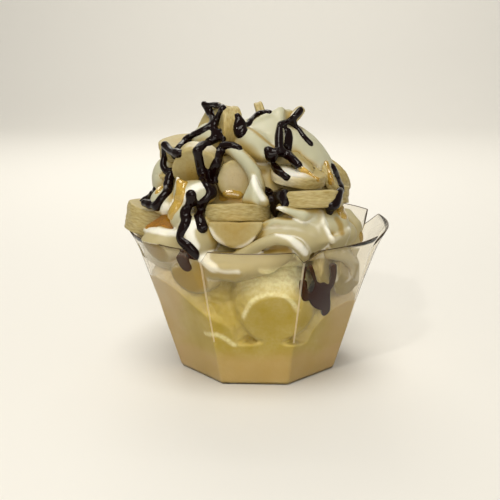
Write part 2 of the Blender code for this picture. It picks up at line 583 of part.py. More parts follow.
def surface(field, grid):
    """Closed surface where the field is zero, by cutting each cell into six tetrahedra."""
    counts = np.array(field.shape)
    strides = np.array((counts[1] * counts[2], counts[2], 1))
    corner_steps = np.array([[bit >> axis & 1 for axis in range(3)] for bit in range(8)]) @ strides
    inside = field < 0.0
    total = np.zeros(tuple(counts - 1), int)
    for bit in range(8):
        a, b, c = bit & 1, bit >> 1 & 1, bit >> 2 & 1
        total += inside[a:counts[0] - 1 + a, b:counts[1] - 1 + b, c:counts[2] - 1 + c]
    cells = np.argwhere((total > 0) & (total < 8)) @ strides
    values = field.ravel()
    pairs = []
    towards = []
    for tetrahedron in ((0, 1, 3, 7), (0, 1, 5, 7), (0, 2, 3, 7), (0, 2, 6, 7), (0, 4, 5, 7), (0, 4, 6, 7)):
        corners = cells[:, None] + corner_steps[list(tetrahedron)][None, :]
        within = values[corners] < 0.0
        order = np.argsort(~within, axis=1, kind="stable")
        corners = np.take_along_axis(corners, order, axis=1)
        number = within.sum(axis=1)
        for amount, triangles in ((1, (((0, 1), (0, 2), (0, 3)),)),
                                  (3, (((0, 3), (1, 3), (2, 3)),)),
                                  (2, (((0, 2), (0, 3), (1, 3)), ((0, 2), (1, 3), (1, 2))))):
            chosen = corners[number == amount]
            for triangle in triangles:
                pairs.append(np.stack([chosen[:, list(edge)] for edge in triangle], axis=1))
                towards.append(np.stack((chosen[:, 0], chosen[:, 3]), axis=1))
    pairs = np.concatenate(pairs)
    towards = np.concatenate(towards)
    low = pairs.min(axis=2)
    high = pairs.max(axis=2)
    keys, index = np.unique(low * np.int64(field.size) + high, return_inverse=True)
    index = index.reshape(low.shape)
    first = keys // field.size
    second = keys % field.size

    def place(corner):
        return np.stack((grid[0][corner // strides[0]], grid[1][corner // strides[1] % counts[1]],
                         grid[2][corner % counts[2]]), axis=-1)

    share = values[first] / (values[first] - values[second])
    share = np.clip(share, 0.04, 0.96)[:, None]
    points = place(first) * (1.0 - share) + place(second) * share
    corner = points[index]
    normal = np.cross(corner[:, 1] - corner[:, 0], corner[:, 2] - corner[:, 0])
    outward = place(towards[:, 1]) - place(towards[:, 0])
    flip = (normal * outward).sum(axis=1) < 0.0
    index[flip] = index[flip][:, ::-1]
    return points, index


def grid_over(low, high, cell):
    """Evenly spaced values on each axis."""
    return [np.arange(start, stop + cell, cell) for start, stop in zip(low, high)]


def bake(made):
    """Replace a mesh by the result of its modifiers."""
    bpy.context.view_layer.update()
    result = bpy.data.meshes.new_from_object(made.evaluated_get(bpy.context.evaluated_depsgraph_get()))
    made.modifiers.clear()
    made.data = result


def thin_out(made, triangles):
    """Lower the number of triangles, keeping the shape."""
    modifier = made.modifiers.new("fewer triangles", "DECIMATE")
    modifier.ratio = triangles / len(made.data.polygons)
    modifier.use_collapse_triangulate = True
    bake(made)


def cut(made, cutter, operation="DIFFERENCE", solver="EXACT"):
    """Cut one object by another."""
    modifier = made.modifiers.new("cut", "BOOLEAN")
    modifier.object = cutter
    modifier.operation = operation
    modifier.solver = solver
    bake(made)


def keep_largest(made):
    """Remove every loose piece but the largest."""
    mesh = bmesh.new()
    mesh.from_mesh(made.data)
    mesh.verts.ensure_lookup_table()
    seen = set()
    groups = []
    for start in mesh.verts:
        if start.index in seen:
            continue
        seen.add(start.index)
        group = []
        stack = [start]
        while stack:
            vertex = stack.pop()
            group.append(vertex)
            for edge in vertex.link_edges:
                other = edge.other_vert(vertex)
                if other.index not in seen:
                    seen.add(other.index)
                    stack.append(other)
        groups.append(group)
    groups.sort(key=len)
    for group in groups[:-1]:
        bmesh.ops.delete(mesh, geom=group, context="VERTS")
    bmesh.ops.triangulate(mesh, faces=mesh.faces[:])
    mesh.to_mesh(made.data)
    mesh.free()


# Food

def slice_mesh(name, centre, direction, radius, thickness, grow=0.0):
    """Points and faces of a banana slice: a slightly five-sided disc with soft edges.

    A grown slice is a cutter that leaves room round the slice, and its edges are plain."""
    axis, across, upward = axes_along(direction)
    radius += grow
    thickness += 2 * grow
    soft = ((-0.5, radius - SLICE_EDGE), (-0.5 + SLICE_EDGE / thickness, radius),
            (0.5 - SLICE_EDGE / thickness, radius), (0.5, radius - SLICE_EDGE))
    plain = ((-0.5, radius), (0.5, radius))
    outline = []
    for index in range(SLICE_SIDES):
        turn = 2 * math.pi * index / SLICE_SIDES
        reach = 1.0 + 0.015 * math.cos(5 * turn + centre[0])
        outline.append((reach * math.cos(turn), reach * math.sin(turn)))
    top = HALF_SLICE_TOP + grow if name == HALF_SLICE else radius * 2.0
    rings = []
    for along, size in plain if grow else soft:
        ring = []
        for side, rise in outline:
            point = np.array(centre) + axis * along * thickness + across * side * size
            point += upward * min(rise * size, top)
            ring.append(tuple(point))
        rings.append(ring)
    return loft(rings)


def build_slices(material):
    """All banana slices, each cut clear of those placed before it."""
    made = []
    for name, centre, direction, radius, thickness in SLICES:
        points, faces = slice_mesh(name, centre, direction, radius, thickness)
        piece = make_object("banana_slice_" + name, points, faces, material)
        for other_name, other_centre, other_direction, other_radius, other_thickness in SLICES[:len(made)]:
            gap = np.linalg.norm(np.array(centre) - np.array(other_centre))
            if gap < radius + other_radius + 2.0:
                points, faces = slice_mesh(other_name, other_centre, other_direction, other_radius,
                                           other_thickness, CLEARANCE)
                cutter = make_object("cutter", points, faces, material)
                if touches(piece, cutter):
                    cut(piece, cutter)
                bpy.data.objects.remove(cutter)
        if name in PRESSED_SLICES:
            cavity = cavity_solid(material)
            cut(piece, cavity, "INTERSECT")
            bpy.data.objects.remove(cavity)
        keep_largest(piece)
        made.append(piece)
    return made


def touches(first, second):
    """True where two meshes cross."""
    trees = []
    for made in (first, second):
        mesh = bmesh.new()
        mesh.from_mesh(made.data)
        trees.append(BVHTree.FromBMesh(mesh))
        mesh.free()
    return bool(trees[0].overlap(trees[1]))


def cavity_solid(material):
    """The space inside the cup that food may fill, open far above the rim."""
    angles = cup_angles()
    inset = WALL + CLEARANCE
    rings = [cup_ring(angles, FLOOR + CLEARANCE, inset)]
    rings += [cup_ring(angles, level, inset) for level in (20.0, 36.0, KNEE_HEIGHT, 56.0, 60.0)]
    rings.append(cup_ring(angles, CUP_HEIGHT, inset, CLEARANCE))
    over_rim = [(x * 1.3, y * 1.3, z) for x, y, z in rings[-1]]
    top = [(x, y, CUP_HEIGHT * 2.0) for x, y, z in over_rim]
    points, faces = loft(rings + [over_rim, top])
    return make_object("cavity", points, faces, material)


def build_ice_cream(material):
    """Scoops that have melted together, flattened where the wall holds them."""
    grid = grid_over((-55.0, -55.0, -1.0), (55.0, 55.0, 66.0), SCOOP_CELL)
    x, y, z = grid[0][:, None, None], grid[1][None, :, None], grid[2][None, None, :]
    field = np.maximum(scoop_distance(x, y, z, SCOOP_BLEND), cavity_distance(x, y, z, FOOD_TO_WALL))
    for distance, low, high in sauce_on_wall():
        field = np.maximum(field, FOOD_TO_FOOD - distance(x, y, z))
    points, faces = surface(field, grid)
    made = make_object("ice_cream", points, faces.tolist(), material)
    thin_out(made, SCOOP_TRIANGLES)
    return made


def build_cream(material):
    """Whipped cream with the thick runs of sauce on it, before the slices are cut out."""
    grid = grid_over((-58.0, -58.0, CREAM_BOTTOM - 2.0), (58.0, 52.0, 118.0), CREAM_CELL)
    x, y, z = grid[0][:, None, None], grid[1][None, :, None], grid[2][None, None, :]
    field = add_forms(np.full([len(values) for values in grid], 1e3), grid, cream_forms(), CREAM_BLEND)
    field = add_forms(field, grid, sauce_on_food() + sauce_on_wall(), SAUCE_BLEND)
    field = np.maximum(field, FOOD_TO_FOOD - scoop_distance(x, y, z, HIDDEN_BLEND))
    field = np.maximum(field, CREAM_BOTTOM - z)
    field = np.maximum(field, cavity_distance(x, y, z, FOOD_TO_WALL))
    points, faces = surface(field, grid)
    made = make_object("whipped_cream", points, faces.tolist(), material)
    keep_largest(made)
    thin_out(made, CREAM_TRIANGLES)
    return made


def main():
    for old in list(bpy.data.objects):
        bpy.data.objects.remove(old)
    clear = make_material("clear cup plastic", COLOURS["cup"], 0.05, 1.0, 1.57)
    frozen = make_material("vanilla ice cream", COLOURS["ice_cream"], 0.5)
    whipped = make_material("whipped cream", COLOURS["whipped_cream"], 0.4)
    fruit = make_material("banana flesh", COLOURS["banana"], 0.45)
    build_cup(clear)
    build_slices(fruit)
    ice_cream = build_ice_cream(frozen)
    cream = build_cream(whipped)
    for entry in SLICES:
        points, faces = slice_mesh(*entry, CLEARANCE)
        cutter = make_object("cutter", points, faces, fruit)
        for food in (cream, ice_cream):
            if touches(food, cutter):
                cut(food, cutter, solver="MANIFOLD")
        bpy.data.objects.remove(cutter)
    keep_largest(ice_cream)
    keep_largest(cream)


main()
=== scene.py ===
"""Looks of a banana sundae in a clear eight-panel cup.

Shapes are worked out in millimetres, as distances to rounded forms, and meshed in metres.
The frame holds the solids; each piece here stands for one of them at a finer grain.
"""
import math

import bpy
import numpy as np
from bpy.props import FloatProperty, FloatVectorProperty, PointerProperty
from mathutils import Matrix, Vector


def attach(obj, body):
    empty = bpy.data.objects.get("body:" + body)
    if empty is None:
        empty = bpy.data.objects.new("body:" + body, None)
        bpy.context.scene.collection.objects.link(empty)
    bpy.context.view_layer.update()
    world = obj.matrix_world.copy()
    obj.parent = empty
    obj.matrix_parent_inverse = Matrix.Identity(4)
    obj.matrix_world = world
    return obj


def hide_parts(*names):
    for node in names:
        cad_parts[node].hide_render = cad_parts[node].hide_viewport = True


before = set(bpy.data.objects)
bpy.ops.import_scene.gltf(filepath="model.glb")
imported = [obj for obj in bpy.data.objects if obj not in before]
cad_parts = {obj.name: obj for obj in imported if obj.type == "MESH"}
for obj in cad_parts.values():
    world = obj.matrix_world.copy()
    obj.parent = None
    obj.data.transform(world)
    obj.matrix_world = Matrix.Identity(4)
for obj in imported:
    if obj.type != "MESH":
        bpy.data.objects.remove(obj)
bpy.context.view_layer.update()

bl_info = {
    "name": "Banana Sundae",
    "version": (1, 0, 0),
    "blender": (4, 5, 0),
    "location": "3D View > Sidebar > Sundae",
    "description": "Builds a banana sundae in its clear cup, piece by piece",
    "category": "Add Mesh",
}

MM = 0.001
# A distance beyond every surface
FAR = 1e3
# From what slope a direction counts as nearly upright
NEARLY_UPRIGHT = 0.95
# How far round a form a field is worked out, for the food, the sauces and the room for slices
FORM_MARGIN = 4.0
SAUCE_FORM_MARGIN = 2.0
SLICE_CUT_MARGIN = 1.0
# How strongly a surface is evened out, and how strongly it swells back
SMOOTHING_PULLS = (0.5, -0.52)

# Cup
CUP_HEIGHT = 63.5
RIM_RADIUS = 57.2
KNEE_HEIGHT = 52.0
KNEE_RADIUS = 52.0
BASE_RADIUS = 36.1
FOOT_BEVEL = 0.8
FOOT_STEPS = 5
WALL = 0.6
FLOOR = 0.9
PANELS = 8
LIP_FLARE = 1.3
LIP_STEPS = 6
NOTCH_DEPTH = 5.6
NOTCH_HALF_ANGLE = 5.6
NOTCH_FLARE = 0.35
GROOVE_DEPTH = 1.5
GROOVE_START = 20.0
GROOVE_HALF_ANGLE = 1.3
ROUNDING_START = 15.0
ROUNDING_HEIGHT = 45.0
# How much shorter the way to the leaning wall is than the level way
WALL_LEAN = 0.95
WALL_LEVELS = 26
FOLD_HALF_ANGLE = 0.45
# Degrees either side of a fold with closely set points, where the panel's own start, and how many each has
FOLD_SPREAD = 7.0
FOLD_POINTS = 29
PANEL_START = 8.5
PANEL_POINTS = 15
PET_IOR = 1.57
# Which of the cup's materials its trimmed edge takes, and which its folds
EDGE_PLACE = 1
FOLD_PLACE = 2

# Ice cream
ICE_BOX = ((-56.0, -56.0, -1.0), (56.0, 56.0, 62.0))
INTO_WALL = 0.3
# How far from the wall food counts as pressed against it, and over what distance that fades
PRESSED_GAP = 0.05
PRESSED_FADE = 0.3
SCOOP_BLEND = 3.0
HIDDEN_BLEND = 9.0
MELTED_LEVEL = 19.0
# Heights and rates of the low waves on the melted pool
RIPPLE_HEIGHTS = (1.2, 0.8)
RIPPLE_RATES = (0.13, 0.17)
RIPPLE_SHIFT = 0.8
# Where the ice cream begins to be firm and paler, and over what height; the paleness is partly painted light,
# leaving it darker lower down
FIRM_HEIGHT = 38.0
FIRM_FADE = 14.0
# How strong the relief is where the ice cream is free, and its pits where it is frozen against the wall
ICE_RELIEF_SHARE = 0.9
PIT_SHARE = 1.2
PIT_START = 0.15
# How strongly the painted highlights along the ice cream's edges show
ICE_EDGE_SHARE = 0.8
# How pale the pool is in the middle, how much paler at the sides, and how pale the ice cream turns towards
# the sides
POOL_SHARE = 0.6
POOL_SIDE_GAIN = 0.2
FILM_SHARE = 0.6

# Whipped cream
CREAM_BOTTOM = 32.0
CREAM_BOX = ((-58.0, -58.0, CREAM_BOTTOM - 2.0), (58.0, 52.0, 118.0))
CREAM_GAP = 0.2
CREAM_BLEND = 1.3
FOLD_FALL = 0.45
# How far from the wall the relief of food reaches its full height
FREE_DEPTH = 1.5
# How far out the cream is looked at for the painted shade in its hollows, and how far in for its thin edges,
# which take a painted highlight
HOLLOW_REACHES = ((2.6, 1.0), (6.0, 0.8))
THIN_REACH = 1.3
THIN_GAIN = 1.3
# How strongly its marks show: painted shade low down, darker where pressed, shaded, painted highlights at the
# edges, stains with painted shade, and icy up to the top
WET_SHARE = 0.5
PRESSED_SHARE = 0.8
SHADE_SHARE = 0.7
EDGE_SHARE = 0.85
STAIN_SHARE = 0.8
ICY_TOP = 57.5
ICY_FADE = 3.0
# Soft edges of painted runs and round spots
PAINT_BLEND = 0.5
PAINT_FADE = 1.2
SPOT_EDGE = 1.5
SPOT_UNEVEN = 0.2
SPOT_UNEVEN_SIZE = 3.0
SPOT_SEED = 4

# Banana
SLICE_EDGE = 0.8
SLICE_HOLD = 0.4
SLICE_GAP = 0.05
# Room for a slice in its own grid, how deep its relief reaches, and how near others may touch it
SLICE_ROOM = 1.04
SLICE_MARGIN = 1.5
SLICE_SKIN = 2.0
SLICE_NEAR = 4.0
# How far a slice's outline is five-sided and uneven, as shares of its radius
FIVE_SIDED = 0.015
UNEVEN = 0.008
SLICE_RELIEF = 0.18
SLICE_RELIEF_SIZE = 5.0
FIBRE_RELIEF = 0.3
FIBRE_LENGTH = 6.0
FIBRE_WIDTH = 1.1
FIBRE_SEED = 20
FIBRE_OFFSET = 7.0
CORE_SHARE = 0.5
CORE_FADE = 0.1
CORE_SINK = 0.12
# From what tilt a point counts as part of the cut face, and over what tilt that fades
FACE_START = 0.5
FACE_FADE = 0.3
# How strongly the painted highlight along the slices' rims shows
RIM_SHARE = 0.6

# Sauces
SAUCE_BLEND = 1.8
SAUCE_MARGIN = 3.0
SAUCE_INTO_WALL = 0.42
# How far off the food, as a share of its radius, a run hangs free
BRIDGE_SHARE = 0.7
# How far sauce may spread from its runs, and how it feathers out on the food
SAUCE_SPREAD = 1.6
FEATHER_DEPTH = 0.35
FEATHER_BLEND = 1.4
FEATHER_REACH = 0.7
# How deep the runs of sauce lie in the food, and how far off the wall, as shares of their radius
SINK = 0.35
CARAMEL_SINK = -0.2
OFF_WALL = 0.4
# How much a run of sauce swells and thins along its way
RUN_VARIES = 0.25
RUN_VARIES_SIZE = 6.0
RUN_VARIES_SEED = 17
CHOCOLATE_DEPTH = 1.3
CARAMEL_DEPTH = 0.8
# How far a smear and the deep pool reach, and how the smear fades at a thick run
SMEAR_REACH = 1.2
SMEAR_FADE = 1.5
POOL_REACH = 1.5
POOL_BLEND = 1.0

# Random bumps in layers: height, width, seed
ICE_RELIEF = ((0.5, 3.2, 1), (0.3, 1.4, 2), (0.25, 0.9, 3))
CREAM_RELIEF = ((0.22, 7.0, 5), (0.1, 2.6, 6))
SAUCE_RELIEF = ((0.06, 6.0, 9),)
CARAMEL_RELIEF = ((0.16, 3.0, 31),)

# Uneven borders: start, width (negative where the value falls), unevenness, the size and seed of that.
# Above the first the ice cream is frozen, below the second it pools as it melts, beyond the third it is paler
# towards the sides, and below the fourth the cream takes painted shade, deeper lower down.
FROZEN_BORDER = (44.0, 5.0, 0.25, 8.0, 14)
POOL_BORDER = (MELTED_LEVEL, -8.0, 0.3, 12.0, 8)
FILM_BORDER = (25.0, 9.0, 0.3, 9.0, 15)
WET_BORDER = (78.0, -12.0, 0.2, 9.0, 12)

# Large numbers that scramble a place and a seed into a random value
SCRAMBLERS = np.array((73856093, 19349663, 83492791))
SEED_SCRAMBLER = 7919
LAST_SCRAMBLER = 1274126177
SCRAMBLED_BITS = 0x7FFFFFFF
VALUE_BITS = 0xFFFF

# Where the photograph was taken from
VIEWPOINT = np.array((17.9, -359.6, 144.7))
VIEW_TURN = math.radians(3.43)
VIEW_PITCH = math.radians(14.71)
VIEW_ROLL = math.radians(-0.40)
LENS = 60.17
SENSOR = 36.0
NEAREST_SEEN = 10.0

# How runs seen from a viewpoint are laid on the food: the distance between their points, the stretch of
# the line of sight that is searched, how carefully, how near its end counts as missed, how steeply a run
# may fall from one point to the next, and how it is smoothed
RUN_STEP = 1.0
BACK_VIEWPOINT = np.array((-10.0, 359.6, 150.0))
FRONT_REACH = 62.0
BACK_REACH = 30.0
MARCHING_STEPS = 90
MARCHING_SHARE = 0.8
MARCHING_LIMITS = (-0.5, 4.0)
MISSED_SLACK = 0.01
STEEPEST = 2.2
SMOOTHED_POINTS = 5
SMOOTHING_SLACK = 0.3

# Floor that sweeps up behind
FLOOR_SIDE = 1300.0
FLOOR_FRONT = -1100.0
SWEEP_START = 900.0
SWEEP_RADIUS = 500.0
SWEEP_TOP = 2200.0
SWEEP_STEPS = 12
SWEEP_FIRST_TURN = 0.1

# Lights: name, place in metres, size in metres, power in watts
LIGHTS = (
    ("key light", (-0.05, -0.22, 0.75), 0.34, 2.55),
    ("fill light", (0.12, -0.9, 0.4), 0.5, 2.2),
    ("spark light", (-0.25, -0.5, 0.55), 0.03, 0.8),
    ("back light", (-0.2, 0.6, 0.6), 0.4, 1.2),
    ("backdrop light", (0.0, 0.5, 0.9), 0.6, 5.0),
)
LIT_FOOD = Vector((0.0, -0.01, 0.06))
LIT_BACKDROP = Vector((0.0, 1.3, 0.25))
# The studio's own light, as it falls on things and as the camera sees it
STUDIO_LIGHT = 0.3
STUDIO_SEEN = 0.66

# Banana slices: name, centre, direction of the face, radius, thickness
SLICES = (
    ("front", (-7.3, -32.7, 73.5), (0.0, 0.26, 0.966), 13.8, 7.3),
    ("right", (21.5, -31.7, 78.7), (-0.05, 0.26, 0.965), 14.0, 7.0),
    ("half", (-6.4, -44.0, 73.4), (0.0, -0.95, 0.3), 10.6, 6.5),
    ("tilted", (-7.6, -28.8, 87.2), (0.15, -0.97, 0.15), 7.6, 5.6),
    ("big_left", (-22.6, -27.0, 91.5), (-0.15, -0.92, -0.36), 10.3, 7.5),
    ("upper_left", (-30.5, -8.0, 97.0), (-0.08, -0.14, 0.985), 11.0, 7.0),
    ("left_low", (-31.5, -14.0, 88.3), (-0.35, -0.25, 0.9), 10.0, 7.0),
    ("top_middle", (-12.4, -12.0, 104.5), (-0.93, -0.33, 0.1), 10.5, 8.4),
    ("top_left", (-18.8, -7.0, 107.5), (-0.75, -0.35, 0.55), 8.5, 5.0),
    ("rim_left", (-41.3, -14.0, 67.0), (0.2, 0.05, 0.98), 14.5, 11.5),
    ("right_edge", (26.5, -4.0, 77.0), (0.05, 0.12, 0.99), 13.0, 7.5),
    ("right_upper", (30.5, -12.0, 84.8), (0.86, -0.05, 0.5), 8.0, 4.5),
    ("wedge", (17.5, -27.5, 88.0), (0.14, -0.08, 0.985), 11.0, 4.8),
    ("leaning", (21.0, -22.0, 91.0), (0.6, -0.15, 0.78), 8.5, 2.8),
    ("back_tip", (2.4, 3.0, 107.0), (0.94, 0.1, 0.31), 8.5, 4.0),
    ("top_right", (15.5, -6.0, 109.5), (0.7, 0.1, -0.7), 5.5, 3.4),
    ("wall_front", (28.5, -34.8, 52.5), (0.93, -0.36, 0.1), 9.0, 5.0),
    ("wall_right", (37.0, -27.0, 49.0), (0.9, -0.4, 0.15), 10.5, 5.0),
    ("back_left", (-26.0, 22.0, 84.0), (-0.5, 0.6, 0.62), 12.0, 7.5),
    ("back_middle", (4.05, 33.8, 77.6), (0.05, 0.8, 0.6), 13.0, 9.5),
    ("back_right", (30.0, 20.0, 80.0), (0.6, 0.5, 0.62), 12.0, 7.0),
    ("back_rim", (-22.0, 37.0, 69.0), (0.1, -0.15, 0.98), 13.5, 8.0),
)
HALF_SLICE = "half"
HALF_SLICE_TOP = -0.7
PRESSED_SLICES = ("wall_front", "wall_right")

# Ice cream scoops: centre and radius
SCOOPS = (
    ((7.6, -30.5, 37.8), 17.9),
    ((-24.0, -15.0, 34.0), 23.5),
    ((-17.0, -27.0, 27.0), 16.0),
    ((24.0, -12.0, 24.0), 21.0),
    ((20.0, 20.0, 28.0), 20.0),
    ((-1.0, 27.0, 36.0), 21.0),
    ((-22.0, 20.0, 35.0), 22.0),
)

# Whipped cream as rounded lumps: centre, half sizes, and the way the first half size points if it is tilted
CREAM_LUMPS = (
    ((-1.0, 3.0, 66.0), (38.0, 37.0, 37.0)),
    ((-9.0, 1.0, 56.0), (45.0, 46.0, 15.0)),
    # The big smooth lobe at the right of the peak
    ((20.5, -7.5, 93.0), (17.5, 11.0, 8.5), (0.65, -0.12, -0.75)),
    # The lobe under the crease
    ((-0.5, -20.5, 99.5), (9.5, 6.0, 6.0), (0.8, -0.3, -0.5)),
    ((-18.0, -12.0, 101.0), (9.0, 9.0, 7.0)),
    ((-37.0, -13.0, 84.0), (7.0, 8.0, 10.0)),
    ((-35.6, -27.0, 77.6), (7.0, 8.5, 6.0)),
    ((-23.0, -36.0, 82.5), (8.5, 6.0, 5.5)),
    ((-28.5, -37.0, 74.0), (5.0, 6.0, 6.5)),
    ((-36.0, -35.0, 61.5), (10.0, 9.0, 7.0)),
    ((-22.0, -41.0, 66.0), (8.5, 7.5, 9.5)),
    ((-23.0, -41.0, 50.0), (11.0, 8.0, 7.0)),
    ((14.0, -39.5, 66.0), (16.0, 9.5, 8.0)),
    ((24.0, -35.0, 70.0), (14.0, 10.0, 8.5)),
    ((34.0, -31.0, 65.5), (7.5, 7.0, 6.0)),
)

# Whipped cream as piped ropes: points on the middle line with the radius at each
CREAM_ROPES = (
    # The hood over the upright slice
    ((-12.5, -24.5, 99.6, 2.0), (-8.5, -28.0, 98.6, 2.4), (-4.8, -30.0, 96.2, 2.8), (-1.8, -31.0, 93.0, 3.0),
     (0.3, -31.5, 89.4, 3.0), (1.4, -32.0, 85.0, 3.2), (1.0, -32.5, 80.5, 3.6)),
    # Small peaks between the slices
    ((-29.8, -37.0, 89.3, 0.6), (-29.3, -36.5, 85.5, 2.0), (-27.5, -35.5, 81.0, 4.2)),
    # Folds along the front rim
    ((-20.0, -45.0, 56.0, 5.0), (-7.0, -46.5, 55.5, 6.0), (6.0, -47.5, 58.0, 4.6), (14.0, -47.0, 61.5, 3.0)),
    ((-4.5, -48.0, 61.0, 2.6), (0.9, -49.0, 64.0, 2.4), (4.0, -50.0, 65.8, 2.3), (9.0, -51.0, 68.0, 2.2),
     (14.7, -51.0, 67.2, 2.2), (18.0, -49.5, 64.8, 2.3), (20.0, -46.5, 61.6, 2.2), (20.5, -42.5, 57.5, 2.0)),
    ((4.0, -43.5, 70.8, 1.8), (9.0, -44.5, 73.0, 2.0), (17.0, -45.0, 72.2, 2.2), (24.0, -44.0, 69.0, 2.4)),
    # The right edge, down to the inside of the cup
    ((37.5, -17.0, 69.5, 3.4), (40.0, -19.0, 65.5, 4.2), (40.3, -19.0, 60.0, 4.2), (37.0, -20.0, 54.0, 5.0)),
    ((30.0, -39.0, 60.0, 3.0), (35.5, -35.0, 58.0, 3.0), (40.0, -28.0, 52.0, 2.6), (38.0, -25.0, 43.0, 2.6)),
)

# Whipped cream as flaps: three corners each, with the radius at each corner
CREAM_FLAPS = (
    # The flat sail at the top, over the crease
    ((-3.2, -16.0, 106.8, 0.8), (10.2, -10.0, 112.6, 1.2), (8.8, -21.5, 98.6, 1.6)),
    ((-3.2, -16.0, 106.8, 0.8), (2.5, -13.5, 110.2, 0.8), (10.2, -10.0, 112.6, 1.2)),
    ((10.2, -10.0, 112.6, 1.2), (12.5, -3.0, 108.0, 4.5), (8.8, -21.5, 98.6, 1.6)),
    # The lobe that comes out from under the crease
    ((-4.6, -18.0, 106.2, 1.0), (8.6, -26.0, 96.6, 1.0), (-6.0, -21.0, 99.5, 2.2)),
    ((8.6, -26.0, 96.6, 1.0), (3.0, -25.5, 96.0, 2.2), (-6.0, -21.0, 99.5, 2.2)),
    # The ridge of the big lobe
    ((14.4, -12.0, 102.6, 1.2), (27.0, -8.5, 93.2, 1.4), (22.0, -14.0, 92.0, 4.5)),
    ((27.0, -8.5, 93.2, 1.4), (31.8, -7.0, 88.2, 1.6), (26.0, -15.0, 86.0, 4.5)),
    # The spike between the slices
    ((0.1, -35.5, 89.2, 0.5), (-2.4, -37.0, 80.0, 2.2), (1.0, -39.0, 80.0, 2.4)),
    ((0.1, -35.5, 89.2, 0.5), (4.6, -38.0, 79.6, 2.0), (1.0, -39.0, 80.0, 2.4)),
    # The flap over the rim at the left
    ((-44.6, -30.5, 66.2, 1.0), (-37.4, -37.0, 67.4, 1.4), (-37.5, -36.0, 60.5, 3.0)),
    ((-37.4, -37.0, 67.4, 1.4), (-29.0, -42.5, 67.6, 1.6), (-28.0, -42.0, 61.5, 3.5)),
    ((-37.4, -37.0, 67.4, 1.4), (-28.0, -42.0, 61.5, 3.5), (-37.5, -36.0, 60.5, 3.0)),
    # The fold beside the half slice
    ((-25.4, -43.5, 71.0, 2.2), (-21.5, -45.5, 67.6, 3.0), (-23.0, -45.0, 61.0, 4.0)),
    # The tongue between the two flat slices
    ((9.8, -46.0, 79.0, 0.8), (19.5, -45.0, 75.8, 2.0), (17.0, -41.0, 76.4, 2.2)),
    ((19.5, -45.0, 75.8, 2.0), (27.0, -37.0, 75.0, 2.6), (17.0, -41.0, 76.4, 2.2)),
    # The thin upright ridge and the folds beside it
    ((26.6, -41.5, 76.4, 0.7), (27.6, -45.0, 73.0, 0.7), (23.0, -41.0, 71.0, 2.4)),
    ((27.6, -45.0, 73.0, 0.7), (31.2, -46.5, 66.7, 0.8), (25.0, -43.0, 66.0, 3.0)),
    ((31.2, -46.5, 66.7, 0.8), (37.5, -38.5, 68.5, 1.2), (33.0, -38.0, 62.0, 3.2)),
)

# Folds of the hidden back: angle, distance from the axis, height, length, radius
BACK_FOLDS = (
    (35, 36, 68, 12, 8.0), (62, 36, 66, 12, 8.5), (90, 36, 68, 12, 8.0), (118, 36, 66, 12, 8.5),
    (146, 37, 67, 12, 8.0), (172, 38, 70, 11, 7.5),
    (20, 27, 84, 11, 7.5), (58, 26, 86, 11, 7.5), (96, 26, 84, 11, 8.0), (134, 26, 86, 11, 7.5),
    (170, 27, 84, 10, 7.5),
    (45, 14, 99, 9, 7.5), (105, 14, 100, 9, 7.0), (160, 15, 99, 9, 7.0),
)

